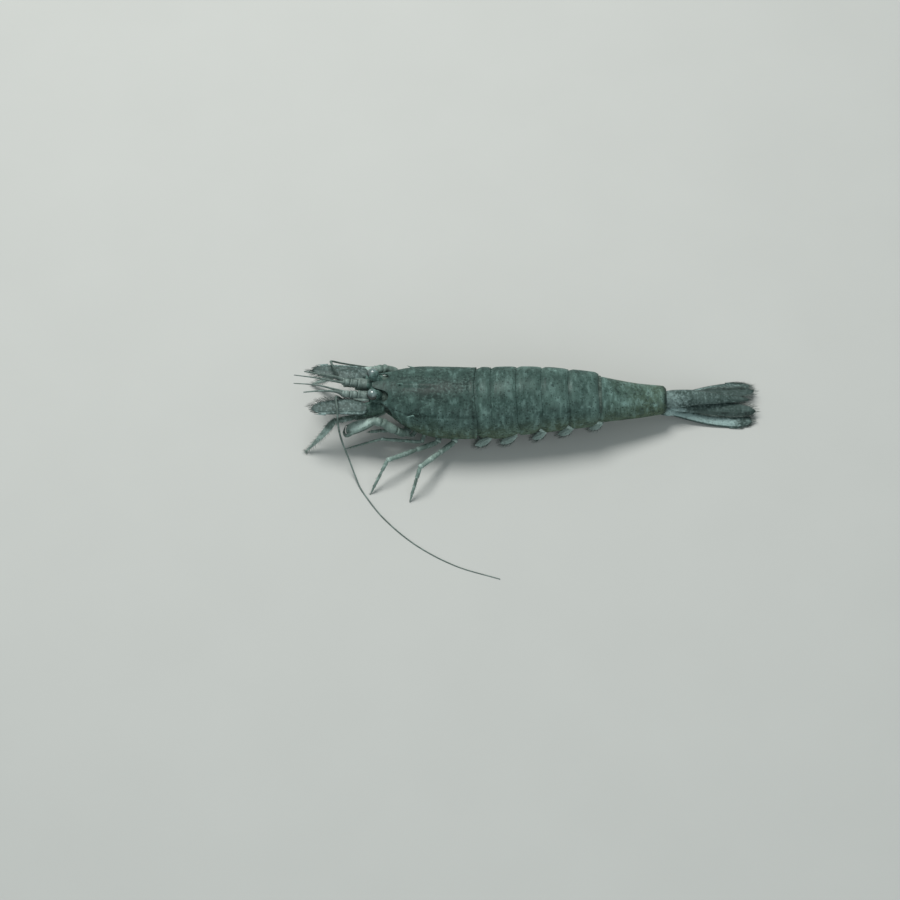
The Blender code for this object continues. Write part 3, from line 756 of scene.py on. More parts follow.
def leaf(
    shape, path, outer, inner, thickness, side, roll=0, crown=0, ribs=(), rows=LEAF_ROWS, **masks
):
    """Adds a leaf to a shape, and gives its path, outer and inner edges and upward direction."""
    path = curve(path, rows)
    t = np.linspace(0, 1, rows)
    ahead = unit(np.gradient(path, axis=0))
    across = unit(np.cross(ahead, (0, 0, 1)))
    across = across * np.sign(across[:, 1:2] * side)
    up = unit(np.cross(ahead, across))
    up = up * np.sign(up[:, 2:3])
    tilt = radians(roll)
    across, up = across * cos(tilt) - up * sin(tilt), up * cos(tilt) + across * sin(tilt)
    outer_half, inner_half = along(outer, t)[:, None], along(inner, t)[:, None]
    wide = np.where(TO_EDGE > 0, outer_half, inner_half)
    high = along(thickness, t)[:, None] / 2 * np.sin(LEAF_TURN) - crown * wide * TO_EDGE**2
    rising = np.sign(np.sin(LEAF_TURN)) * smooth(0, 0.1, t)[:, None]
    for place, height, width in ribs:
        high = high + height * hump(TO_EDGE, place, width) * rising
    grid = path[:, None] + across[:, None] * (wide * TO_EDGE)[..., None]
    grid = grid + up[:, None] * high[..., None]
    shape.sheet(grid, tube=True, **masks)
    drop = up * crown
    return path, path + (across - drop) * outer_half, path + (-across - drop) * inner_half, up


FRINGE_EDGES = {}

# %% [markdown]
# The tail fan is five blades: the pointed telson in the middle, with two pairs of small thorns
# near its tip, and two leaves on each side that share a short base. At rest the leaves lie
# closed, one over the other. The outer one shows a pale band, partly painted light, between a
# painted shadow of the inner leaf and painted shade along its outer rim, and the inner leaf has
# painted shade along its outer edge.

# %% Tail fan
TELSON_OUTLINE = ((0, 1.75), (0.12, 2.1), (0.5, 1.5), (0.85, 0.75), (0.96, 0.35), (1, 0.1))


def telson():
    shape = Shape()
    points = beside([(39.1, 0, 5.1), (45.5, 0, 4.6), (51.5, 0, 3.3), (57.2, 0, 2.1)])
    thickness = ((0, 2.9), (0.2, 2.0), (0.6, 1.0), (1, 0.3))
    pale = 0.5 * fade(0.1, 0.55, TO_TIP)
    dark = 0.1 + 0.5 * smooth(0.45, 1.0, TO_TIP) + 0.3 * hump(TO_TIP, 0.0, 0.06)
    ribs = ((0.45, 0.07, 0.12), (-0.45, 0.07, 0.12))
    FRINGE_EDGES["telson"] = leaf(
        shape, points, TELSON_OUTLINE, TELSON_OUTLINE, thickness, RIGHT, crown=0.22, ribs=ribs,
        pale=pale, dark=dark,
    )
    path, right, left, up = FRINGE_EDGES["telson"]
    for edge, sign in ((right, 1), (left, -1)):
        for row in (38, 48):
            root = path[row] + (edge[row] - path[row]) * 0.8 + up[row] * 0.25
            thorn(shape, root, root + (1.0, 0.12 * sign, -0.05), 0.12, pale=0.2)
    shape.piece("telson_blade", fan_finish, "fan", ["telson"])


EXOPOD_OUTER = (
    (0, 0.4), (0.15, 0.75), (0.4, 1.35), (0.7, 1.75), (0.87, 1.7), (0.91, 1.4), (0.97, 0.9),
    (1, 0.2),
)
EXOPOD_INNER = ((0, 0.5), (0.2, 1.5), (0.6, 2.15), (0.88, 1.85), (0.97, 1.15), (1, 0.2))
EXOPOD_SPREAD = {LEFT: 0.55, RIGHT: 0.4}
# The long band is partly the leaf's own pale colour and partly painted light, which is why the left
# band is paler.
EXOPOD_PALE_AND_LIT_BAND = {LEFT: 0.78, RIGHT: 0.5}  # how pale its long band is
ENDOPOD_OUTER = ((0, 0.5), (0.3, 1.05), (0.65, 1.4), (0.88, 1.2), (0.97, 0.7), (1, 0.15))
ENDOPOD_INNER = ((0, 0.5), (0.3, 1.25), (0.65, 1.6), (0.88, 1.3), (0.97, 0.75), (1, 0.15))


def outer_leaf(side):
    name = SIDES[side]
    shape = Shape()
    base = beside([(38.6, 1.6, 3.1), (39.9, 1.8, 2.75), (41.3, 1.95, 2.35)], side)
    shape.tube(base, (0.9, 1.0, 0.7), 20, pale=(0.2, 0.7, 0.9))
    spread = EXOPOD_SPREAD[side]
    points = [
        (40.2, 1.85, 2.15), (44.5, 2.15 + spread / 2, 1.4), (50, 2.85 + spread, 0.8),
        (57.6, 3.8 + spread, 0.42),
    ]
    band = smooth(-0.45, 0.1, TO_EDGE) * fade(0.76, 0.92, TO_EDGE)
    pale = EXOPOD_PALE_AND_LIT_BAND[side] * band * fade(0.82, 1, TO_TIP) + 0.5 * hump(TO_TIP, 0.08, 0.08)
    # Painted shadow of the inner leaf on the inner part, and painted shade along the outer rim,
    # which faces away from the lamp.
    dark = 0.8 * smooth(0.3, 0.6, TO_TIP) * fade(-0.5, -0.1, TO_EDGE)
    dark = dark + 0.7 * smooth(0.8, 0.95, TO_EDGE)
    edges = leaf(
        shape, beside(points, side), EXOPOD_OUTER, EXOPOD_INNER, ((0, 0.9), (0.3, 0.55), (1, 0.22)),
        side, roll=12, crown=0.05, ribs=((0.5, 0.1, 0.1), (0.86, 0.12, 0.1), (0.15, 0.05, 0.08)),
        pale=pale, dark=dark,
    )
    FRINGE_EDGES[f"exopod_{name}"] = edges
    outer_edge = edges[1]
    root = outer_edge[52] - (0.5, 0.1 * side, -0.06)
    thorn(shape, root, outer_edge[56] + (0.9, 0.35 * side, 0.06), 0.2, pale=0.3)
    shape.piece(f"tail_outer_leaf_{name}", fan_finish, "fan", [f"uropod_exopod_{name}"])


def inner_leaf(side):
    name = SIDES[side]
    shape = Shape()
    points = [(40.2, 1.4, 3.3), (45.5, 1.6, 2.75), (50.5, 2.0, 2.1), (58.4, 2.5, 1.45)]
    pale = 0.75 * smooth(-0.3, 0.5, TO_EDGE) * fade(0.15, 0.38, TO_TIP)
    dark = 0.6 * smooth(0.5, 0.95, TO_TIP)
    # Painted shade along the outer edge, where the inner leaf lies over the outer one.
    dark = dark + 0.8 * smooth(0.1, 0.6, TO_EDGE) * smooth(0.3, 0.42, TO_TIP)
    FRINGE_EDGES[f"endopod_{name}"] = leaf(
        shape, beside(points, side), ENDOPOD_OUTER, ENDOPOD_INNER,
        ((0, 0.8), (0.3, 0.5), (1, 0.22)), side, roll=14, crown=0.06,
        ribs=((0.0, 0.11, 0.12), (0.55, 0.05, 0.08), (-0.5, 0.05, 0.08)), pale=pale, dark=dark,
    )
    shape.piece(f"tail_inner_leaf_{name}", fan_finish, "fan", [f"uropod_endopod_{name}"])


telson()
for side in SIDES:
    outer_leaf(side)
    inner_leaf(side)

# %% [markdown]
# A crustacean limb is a row of stiff tubes. Each one starts thin inside the collar of the one
# before it, swells, and ends in a collar of its own, and that rhythm is what makes a leg look
# like a shrimp's and not like bent wire. `jointed` gives every run between two joints the same
# profile, scaled to the limb, and the last run may narrow to a claw.

# %% Jointed limbs
SEGMENT = ((0, 0.5), (0.05, 0.72), (0.14, 0.92), (0.4, 1.0), (0.8, 0.9), (0.93, 0.98), (1, 0.86))
CLAW = ((0, 0.6), (0.1, 0.95), (0.4, 0.8), (0.8, 0.38), (1, 0.05))
SAG, CLAW_SAG = 0.12, 0.35  # how far a run bows out, in girths


def run(start, end, t, sag):
    """Places on the line between two joints, which bows out in its middle."""
    bow = np.cross(unit(end - start), (0, 1, 0)) * sag
    return start + (end - start) * t[:, None] + bow * np.sin(pi * np.clip(t, 0, 1))[:, None]


def jointed(shape, joints, girths, claw=True, flat=1.0, sides=14, tip=(0.0, 0.7), glow=1.0):
    """Adds one tube for each run between joints. Collars are pale, by the share in glow, and the
    tip gives the claw's pale and dark masks."""
    joints = np.array(joints, float)
    t = np.linspace(0, 1, 17)
    for k, girth in enumerate(girths):
        last = claw and k == len(girths) - 1
        path = run(joints[k], joints[k + 1], t * 1.03 - 0.015, girth * (CLAW_SAG if last else SAG))
        pale = glow * (0.8 * hump(t, 0.97, 0.05) + 0.5 * hump(t, 0.5, 0.14))
        dark = 0.55 * hump(t, 0.03, 0.06) + 0.3 * hump(t, 0.78, 0.07) + 0.4 * (1 - glow)
        if last:
            pale, dark = tip[0] * smooth(0.05, 0.3, t), tip[1] * smooth(0.55, 1.0, t)
        profile = along(CLAW if last else SEGMENT, t)
        shape.tube(path, girth * profile, sides, flat, pale=pale, dark=dark)


# %% [markdown]
# The fourth and fifth pairs of legs carry the animal, and the thin third pair helps them. They
# come out below the shield's lower edge, rise to a knee at the side and reach down to the floor.
# The table gives each leg's knee and foot, so that every claw stands where its solid does.

# %% Standing legs
# number, side, x of the hip, x at the shield's edge, knee, foot and girth
STANDING_LEGS = (
    (3, LEFT, -10.3, -11.4, (-19.7, -7.4, 5.3), (-27.5, -6.8, 0.05), 0.36),
    (4, LEFT, -7.4, -8.1, (-18.4, -12.3, 5.0), (-22.0, -17.6, 0.05), 0.52),
    (5, LEFT, -4.2, -4.7, (-11.7, -14.2, 5.5), (-13.9, -19.4, 0.05), 0.56),
    (3, RIGHT, -10.3, -11.4, (-19.0, 9.3, 5.2), (-26.2, 9.7, 0.05), 0.36),
    (4, RIGHT, -7.4, -8.1, (-15.8, 9.6, 4.6), (-20.0, 10.8, 0.05), 0.52),
    (5, RIGHT, -4.2, -4.7, (-9.4, 9.5, 4.4), (-11.8, 10.9, 0.05), 0.56),
)
HAIRY_LIMBS = []  # joints, girths, whether the last run is a claw, and the coat
SPARSE = (5, 0.5, 0.9)  # hairs per unit of length, how long they are, and how far out they start
DENSE = (26, 1.1, 0.68)


def between(start, end, *shares):
    """Places at these shares of the line from start to end."""
    start, end = np.array(start, float), np.array(end, float)
    return [start + (end - start) * share for share in shares]


def standing_leg(number, side, hip_x, edge_x, knee, foot, girth):
    name = SIDES[side]
    shape = Shape()
    hip = (hip_x, side * 3.2, 3.4)
    below_edge = (edge_x, side * 6.7, 2.8)
    joints = [hip, below_edge, *between(below_edge, knee, 0.42, 1.0)]
    joints += between(knee, foot, 0.3, 0.78, 1.0)
    girths = [girth * share for share in (1.35, 1.05, 1.0, 0.78, 0.6, 0.46)]
    jointed(shape, joints, girths)
    HAIRY_LIMBS.append((joints[2:], girths[2:], True, SPARSE))
    shape.piece(f"walking_leg_{number}_{name}", limb_finish, "limb", [f"leg_{number}_{name}"])


for leg in STANDING_LEGS:
    standing_leg(*leg)

# %% [markdown]
# The first pair of legs is the shrimp's tool. Its hand is a broad oval box, and the claw closes
# across the far end of it like a pocket knife, against a short fixed thorn. The second pair is
# thin and ends in tiny pincers, and in front of both the last mouth limbs, long and hairy, feel
# their way over the sand.

# %% Claw legs, second legs and mouth limbs
PALM_HALF_WIDTH = ((0, 0.5), (0.1, 0.85), (0.35, 1.25), (0.7, 1.4), (0.93, 1.2), (1, 0.75))
CLAW_LEG = (
    (-13.6, 3.4, 4.0), (-14.8, 6.5, 5.0), (-16.6, 7.1, 6.8), (-19.4, 6.5, 8.9), (-21.3, 6.15, 8.6),
)
CLOSING_CLAW = ((-25.5, 7.55, 5.9), (-26.9, 7.65, 4.65), (-27.5, 6.5, 4.0), (-27.2, 5.1, 4.4))
THIN_LEG = (
    (-12.0, 3.4, 3.2), (-13.4, 5.4, 2.3), (-18.4, 5.2, 3.3), (-20.2, 5.0, 2.8), (-22.0, 4.87, 1.95),
)


def palm(shape, side):
    """The hand's oval box, with painted light on its upper side and painted shade beneath."""
    wrist, tip = beside([(-20.8, 6.2, 8.85), (-26.8, 6.4, 4.6)], side)
    t = np.linspace(0, 1, 40)[:, None]
    middle = wrist + (tip - wrist) * t
    width = along(PALM_HALF_WIDTH, t)
    plump = 0.78 - 0.12 * t
    across, over = carried(middle)
    turn = around(28)[None, :]
    grid = middle[:, None] + across[:, None] * (width * np.cos(turn))[..., None]
    grid = grid + over[:, None] * (width * plump * np.sin(turn))[..., None]
    upper = np.sin(turn - 0.3 * side)
    # Painted light on the upper side and painted shade on the underside; the dark at the wrist and
    # the tip is the hand's own.
    pale = 0.95 * smooth(0.0, 0.6, upper) * hump(t, 0.45, 0.5)
    dark = 0.4 * hump(t, 0.04, 0.05) + 0.35 * smooth(0.85, 1, t) + 0.9 * smooth(-0.05, 0.5, -upper)
    shape.sheet(grid, tube=True, pale=pale, dark=dark)


def claw_leg(side):
    name = SIDES[side]
    shape = Shape()
    joints = beside(CLAW_LEG, side)
    jointed(shape, joints[:4], (0.9, 0.86, 0.98), claw=False, sides=18, glow=0.3)
    jointed(shape, joints[3:], (0.95,), claw=False, sides=18)
    palm(shape, side)
    t = np.linspace(0, 1, 24)
    claw = curve(beside(CLOSING_CLAW, side), 24)
    shape.tube(claw, 0.44 * along(CLAW, t), 14, dark=0.7 * smooth(0.5, 1, t))
    thorn(shape, *beside([(-25.7, 5.5, 5.5), (-27.2, 5.25, 4.65)], side), 0.42, dark=0.3)
    shape.piece(f"claw_leg_{name}", limb_finish, "limb", [f"leg_1_{name}"])


def second_leg(side):
    name = SIDES[side]
    shape = Shape()
    joints = beside(THIN_LEG, side)
    jointed(shape, joints, (0.5, 0.37, 0.34, 0.36), claw=False)
    for off in (-0.14, 0.14):
        finger = beside([(-21.9, 4.87 + off, 2.0), (-23.0, 4.8 + off * 0.6, 1.5)], side)
        thorn(shape, *finger, 0.17)
    HAIRY_LIMBS.append((joints[2:], (0.34, 0.36), False, SPARSE))
    shape.piece(f"thin_leg_{name}", limb_finish, "limb", [f"leg_2_{name}"])


MOUTH_LIMB_TIPS = {LEFT: (-35.7, -7.6, 0.13), RIGHT: (-34.9, 9.0, 0.13)}
MOUTH_LIMB_GIRTHS = (0.7, 0.74, 0.62, 0.8)


def mouth_limb(side):
    name = SIDES[side]
    shape = Shape()
    points = [(-18.7, 1.7, 6.0), (-21.0, 2.6, 5.1), (-25.2, 3.7, 5.7), (-29.5, 5.6, 6.9)]
    joints = [*beside(points, side), MOUTH_LIMB_TIPS[side]]
    jointed(shape, joints, MOUTH_LIMB_GIRTHS, flat=0.75, sides=16, tip=(0.85, 0.1))
    HAIRY_LIMBS.append((joints[1:], MOUTH_LIMB_GIRTHS[1:], True, DENSE))
    shape.piece(f"mouth_limb_{name}", limb_finish, "limb", [f"maxilliped_{name}"])


for side in SIDES:
    claw_leg(side)
    second_leg(side)
    mouth_limb(side)

# %% [markdown]
# The front of the head is crowded: two eyes on short stalks under the hollows of the shield, the
# stout bases of both pairs of feelers, and the broad leaf-like scales beside them. An eye is a
# ball cut in two, with a dark faceted cornea in front and a cup of shell behind.

# %% Eyes and the front of the head
EYE = (-21.4, 2.5, 12.9)
EYE_SIZE = 1.2


def ball_part(centre, axis, radius, first, last):
    """Part of a ball between two angles from its axis, as a grid."""
    axis = unit(axis)
    across = unit(np.cross(axis, (0, 0, 1)))
    over = np.cross(across, axis)
    polar = np.radians(np.linspace(first, last, 28))[:, None, None]
    turn = around(36)[None, :, None]
    round_part = across * np.cos(turn) + over * np.sin(turn)
    return centre + radius * (axis * np.cos(polar) + round_part * np.sin(polar))


def eye(side):
    name = SIDES[side]
    centre = beside([EYE], side)[0]
    axis = (-0.55, 0.62 * side, 0.5)
    ball = Shape()
    front = ball_part(centre, axis, EYE_SIZE, 0.5, 96)
    # The pale mask on top of the cornea is a painted sheen.
    ball.sheet(front, tube=True, pale=0.9 * smooth(0.35, 1.05, front[..., 2] - centre[2]))
    ball.piece(f"cornea_{name}", eye_finish, "eye", [f"eye_{name}"])
    stalk = Shape()
    cup = ball_part(centre, axis, EYE_SIZE * 1.02, 84, 179)
    stalk.sheet(cup, tube=True, pale=0.5)
    root = beside([(-19.9, 1.35, 11.0), (-20.5, 1.8, 11.9), (-21.0, 2.2, 12.5)], side)
    stalk.stem(root, ((0, 0.95), (1, 0.9)), 12, 24, pale=0.4)
    stalk.piece(f"eyestalk_{name}", shell_finish, "shell")


def head_block():
    shape = Shape()
    middle = beside([(-18.0, 0, 9.6), (-20.0, 0, 9.6), (-21.6, 0, 9.7), (-22.4, 0, 9.8)])
    shape.stem(middle, ((0, 3.2), (0.5, 3.1), (0.85, 2.3), (1, 0.9)), 20, 40, 0.6)
    lip = beside([(-17.8, 0, 6.4), (-19.6, 0, 6.2), (-20.9, 0, 6.9)])
    shape.stem(lip, ((0, 1.6), (0.6, 1.5), (1, 0.5)), 14, 24, 0.8, pale=0.4)
    for side in SIDES:
        base = beside([(-19.2, 3.0, 8.9), (-21.2, 3.5, 9.1), (-23.2, 3.9, 9.5)], side)
        shape.stem(base, ((0, 1.3), (0.55, 1.65), (0.9, 1.35), (1, 0.9)), 16, 26, 0.85)
        tooth = beside([(-22.4, 5.0, 9.0), (-24.2, 5.5, 9.1)], side)
        thorn(shape, *tooth, 0.4, pale=0.4)
        inner = beside([(-19.6, 1.1, 10.5), (-21.4, 1.2, 10.5), (-22.9, 1.25, 10.5)], side)
        shape.tube(curve(inner, 12), (1.0,) * 8 + (1.02, 1.0, 0.92, 0.7), 22, 0.9)
    shape.piece("head_bases", shell_finish, "shell", ["head_front"])


head_block()
for side in SIDES:
    eye(side)

# %% [markdown]
# A feeler's whip is a chain of several hundred tiny rings, each a little cup that holds the next
# one. Modelling each ring would be wasteful, so the whip is one long tube whose radius steps in
# and out along it, with a dark line at every step and broader dark bands every so often.

# %% Whips
WHIP_HEIGHT = 0.35  # of the long whips' middle line in the solids, where they lie on the floor
WHIPS = {
    LEFT: (
        (-28.6, -4.0, 12.0), (-28.4, -6.6, 9.4), (-27.8, -8.3, 6.2), (-26.5, -10.6, 3.2),
        (-25.1, -13.7, 1.2), (-23.4, -17.2, 0.35), (-19, -23.3, 0.35), (-12.5, -29.3, 0.35),
        (-4.5, -34, 0.35), (4.5, -37, 0.35),
    ),
    RIGHT: (
        (-30.0, 6.6, 12.1), (-30.2, 9.2, 8.9), (-28.2, 10.9, 5.4), (-24.5, 12.0, 2.6),
        (-19, 12.4, 0.7), (-10, 12.4, 0.35), (1, 12.4, 0.35), (12, 12.4, 0.35), (23, 12.4, 0.35),
    ),
}


def whip(shape, points, thick, thin, rings, band, on_floor=False):
    """A ringed whip through some points, which thins from one radius to another. Band gives the
    number of rings from one dark band to the next."""
    steps = rings * 4
    t = np.linspace(0, 1, steps)
    path = curve(points, steps)
    radius = thick + (thin - thick) * t**0.75
    if on_floor:
        path[:, 2] = np.maximum(path[:, 2], WHIP_HEIGHT)
        path[:, 2] -= (WHIP_HEIGHT - 1.1 * radius) * fade(0.4, 2.5, path[:, 2])
    phase = np.arange(steps) % 4
    cups = np.array((0.9, 1.0, 1.07, 1.1))[phase]
    banded = smooth(0.2, 0.9, np.sin(2 * pi * t * rings / band))
    dark = 0.35 * (phase == 0) + 0.35 * banded
    shape.tube(path, radius * cups, 9, dark=dark, pale=0.35 * (phase == 3))


# %% [markdown]
# Beside each long feeler lies a broad scale, stiff on its outer edge, which ends in a spine, and
# fringed on the others. The upper feelers are short and forked. Both kinds stand on stout bases
# of two or three parts, which are made as limbs are.

# %% Scales and feelers
SCALE_OUTER = ((0, 0.8), (0.1, 1.45), (0.6, 1.5), (0.86, 1.4), (0.93, 0.95), (0.98, 0.5), (1, 0.1))
SCALE_INNER = ((0, 0.9), (0.2, 1.7), (0.6, 1.9), (0.86, 1.45), (0.95, 0.85), (1, 0.1))


def antennal_scale(side):
    name = SIDES[side]
    shape = Shape()
    points = beside([(-22.6, 4.2, 10.1), (-27, 4.4, 10.45), (-34, 4.6, 10.2)], side)
    pale = 0.5 * hump(TO_EDGE, 0.85, 0.2) + 0.35 * hump(TO_TIP, 0.35, 0.16) * (1 - TO_EDGE) / 2
    dark = 0.45 * smooth(0.75, 1, TO_TIP) + 0.4 * hump(TO_TIP, 0.02, 0.04)
    edges = leaf(
        shape, points, SCALE_OUTER, SCALE_INNER, ((0, 0.85), (0.2, 0.55), (1, 0.2)), side, roll=4,
        crown=0.05, ribs=((0.55, 0.14, 0.13), (0.9, 0.1, 0.1), (-0.1, 0.05, 0.1)),
        pale=pale, dark=dark,
    )
    FRINGE_EDGES[f"scale_{name}"] = edges
    outer_edge = edges[1]
    thorn(shape, outer_edge[50], outer_edge[57] + (-0.75, 0.28 * side, 0), 0.24, pale=0.6)
    shape.piece(f"scale_{name}", fan_finish, "fan", [f"antennal_scale_{name}"])


def upper_feeler(side):
    name = SIDES[side]
    shape = Shape()
    stalk = [(-22.2, 1.25, 10.45), (-24.5, 1.3, 10.7), (-26.1, 1.4, 10.95), (-27.7, 1.45, 11.2)]
    jointed(shape, beside(stalk, side), (0.98, 0.84, 0.76), claw=False, sides=18)
    blade = beside([(-22.3, 2.0, 10.4), (-23.8, 2.3, 10.6), (-25.4, 2.4, 10.75)], side)
    outline = ((0, 0.5), (0.5, 0.45), (1, 0.05)), ((0, 0.3), (1, 0.05))
    leaf(shape, blade, *outline, ((0, 0.4), (1, 0.15)), side, rows=20)
    outer = [(-27.5, 1.75, 11.2), (-29, 1.75, 12.3), (-32, 2.0, 12.8), (-35.5, 2.5, 12.9)]
    inner = [(-27.5, 1.1, 11.3), (-29.5, 0.95, 12.0), (-33, 0.85, 13.2), (-37.5, 1.0, 13.9)]
    whip(shape, beside(outer, side), 0.42, 0.12, rings=34, band=6)
    whip(shape, beside(inner, side), 0.32, 0.09, rings=48, band=7)
    shape.piece(f"upper_feeler_{name}", feeler_finish, "feeler", [f"antennule_{name}"])


def long_feeler(side):
    name = SIDES[side]
    shape = Shape()
    stalk = beside([(-22.3, 2.95, 8.3), (-24.4, 2.8, 8.5), (-27.5, 2.3, 9.1)], side)
    jointed(shape, stalk, (1.02, 0.86), claw=False, sides=18)
    rise = beside([(-27.2, 2.35, 9.05), (-28.5, 2.0, 10.4), (-28.9, 3.0, 11.9)], side)
    whip(shape, [*rise, *WHIPS[side]], 0.31, 0.08, rings=260, band=13, on_floor=True)
    shape.piece(f"long_feeler_{name}", feeler_finish, "feeler", [f"antenna_{name}"])


for side in SIDES:
    antennal_scale(side)
    upper_feeler(side)
    long_feeler(side)

# %% [markdown]
# Five pairs of swimming limbs hang under the abdomen: a short stalk from the cross bar of its
# ring, and two fringed leaves that sweep forwards. The solids hold one plain leaf for each.

# %% Swimming limbs
# The stalk's end and the leaf's tip, each as a place behind the ring's end and a distance from
# the middle line.
SWIMMING_LIMBS = (
    (0.25, 5.5, -3.05, 6.25), (0.35, 5.25, -3.05, 5.95), (1.2, 4.65, -1.5, 5.15),
    (1.3, 3.95, -1.7, 4.45), (1.2, 2.8, -1.5, 3.25),
)


def swimming_limb(number, side, end):
    bend_back, bend_out, tip_back, tip_out = SWIMMING_LIMBS[number - 1]
    name = f"{number}_{SIDES[side]}"
    shape = Shape()
    hip = (end - 1.0, 2.4, along(PLEURA_EDGE, end) + 1.2)
    knee = (end - 0.3, (2.6 + bend_out) / 2, 3.1)
    stalk = beside([hip, knee, (end + bend_back, bend_out - 0.3, 2.2)], side)
    shape.stem(stalk, ((0, 0.6), (0.5, 0.75), (1, 0.5)), 14, 16, 0.7, pale=0.7)
    start_x, start_out = end + bend_back + 0.1, bend_out - 0.2
    middle_x, middle_out = end + (bend_back + tip_back) / 2, (bend_out + tip_out) / 2 + 0.15
    tip_x = end + tip_back
    outer = [(start_x, start_out, 2.15), (middle_x, middle_out, 1.45), (tip_x, tip_out, 0.75)]
    inner = [
        (start_x, start_out - 0.5, 1.95), (middle_x, middle_out - 1.0, 1.2),
        (tip_x + 0.8, tip_out - 1.2, 0.7),
    ]
    for label, points, wide in (("outer", outer, 0.85), ("inner", inner, 0.55)):
        outline = ((0, 0.4 * wide), (0.4, wide), (0.8, 0.75 * wide), (1, 0.08))
        FRINGE_EDGES[f"swim_{label}_{name}"] = leaf(
            shape, beside(points, side), outline, outline, ((0, 0.5), (1, 0.15)), side,
            ribs=((0, 0.06, 0.15),), rows=28, pale=0.85,
        )
    shape.piece(f"swimming_limb_{name}", limb_finish, "feeler", [f"pleopod_{name}"])


for number, (start, end) in enumerate(RINGS, start=1):
    for side in SIDES:
        swimming_limb(number, side, end)

# %% [markdown]
# Stiff hairs edge the tail fan, the scales and the swimming limbs, and cover the mouth limbs and
# legs. They are real mesh, because hair made by a particle system is lost on export: each
# hair is a thin three-sided cone with one bend. Its place on a flat layout of the edge it grows
# from is kept in a map, so that a baked texture gives each hair one patch of its own.

# %% Hairs
chance = np.random.default_rng(11)
SCATTER, CROOKEDNESS = 0.12, 0.06
LOWEST_TIP, LOWEST_MIDDLE = 0.04, 0.05  # no hair reaches down to the floor
HAIR_FACES = ((0, 1, 4, 3), (1, 2, 5, 4), (2, 0, 3, 5), (3, 4, 6), (4, 5, 6), (5, 3, 6), (2, 1, 0))
HAIR_POINTS = 7
PATCH = 0.003  # the side of a hair's patch on the layout
PATCH_LAYOUT = np.array(((0, 0), (0.5, 0), (1, 0), (0, 0.5), (0.5, 0.5), (1, 0.5), (0.5, 1)))


class Hairs:
    """Many hairs that become one mesh."""

    def __init__(self):
        self.grown = []

    def grow(self, roots, aims, length, girth, layout):
        count = len(roots)
        aims = unit(unit(aims) + chance.normal(0, SCATTER, (count, 3)))
        lengths = length * chance.uniform(0.7, 1.1, count)
        self.grown.append((roots, aims, lengths, np.full(count, girth), layout))

    def edge(self, edges, which, lane, first, density, length, lean, girth):
        """A fringe along one edge of a leaf, from a share of its length to the tip. Lane is its
        row on the layout."""
        path, edge, up = edges[0], edges[which], edges[3]
        places = np.linspace(0, 1, len(path))
        walked = np.linalg.norm(np.diff(edge, axis=0), axis=1).sum() * (1 - first)
        t = np.sort(chance.uniform(first, 1, int(walked * density)))

        def read(values):
            return np.stack([np.interp(t, places, values[:, axis]) for axis in range(3)], -1)

        ahead = unit(np.gradient(edge, axis=0))
        out = unit(read(edge - path))
        aims = out * (1 - lean) + read(ahead) * lean + read(up) * 0.05
        taper = 0.55 + 0.45 * smooth(first, first + 0.25, t)
        layout = np.stack([0.98 * t, 0 * t + lane], -1)
        self.grow(read(edge) - out * 0.06, aims, length * taper, girth, layout)

    def piece(self, name, finish, slot):
        roots, aims, lengths, girths, layout = (np.concatenate(part) for part in zip(*self.grown))
        across = unit(np.cross(aims, (0.3, 0.1, 1.0)))
        over = np.cross(across, aims)
        turn = around(3)[:, None]
        ring = across[:, None] * np.cos(turn) + over[:, None] * np.sin(turn)
        ring = ring * girths[:, None, None]
        bend = chance.normal(0, CROOKEDNESS, roots.shape) * lengths[:, None]
        middle = roots + aims * lengths[:, None] * 0.5 + bend
        tip = roots + aims * lengths[:, None] + (0, 0, -0.04)
        tip[:, 2] = np.maximum(tip[:, 2], LOWEST_TIP)
        middle[:, 2] = np.maximum(middle[:, 2], LOWEST_MIDDLE)
        low, high = roots[:, None] + ring, middle[:, None] + ring * 0.7
        points = np.concatenate([low, high, tip[:, None]], 1).reshape(-1, 3)
        starts = range(0, len(points), HAIR_POINTS)
        faces = [[corner + start for corner in face] for start in starts for face in HAIR_FACES]
        shape = Shape()
        shape.add(points, faces)
        obj = shape.piece(name, finish, slot)
        loops = np.empty(len(obj.data.loops), np.int64)
        obj.data.loops.foreach_get("vertex_index", loops)
        hair, corner = np.divmod(loops, HAIR_POINTS)
        flat = layout[hair] * (1 - PATCH) + PATCH_LAYOUT[corner] * PATCH
        unwrapped = obj.data.uv_layers.new(name="OFBake")
        unwrapped.data.foreach_set("uv", flat.astype(np.float32).ravel())


# %% [markdown]
# The fan's blades end in long fringes that carry on their outline, so one sees the fan as larger
# than its shell. The scales have them on the inner edge and round the tip, and the swimming
# limbs all along.

# %% Fringes
tail_hairs, scale_hairs, swim_hairs = Hairs(), Hairs(), Hairs()
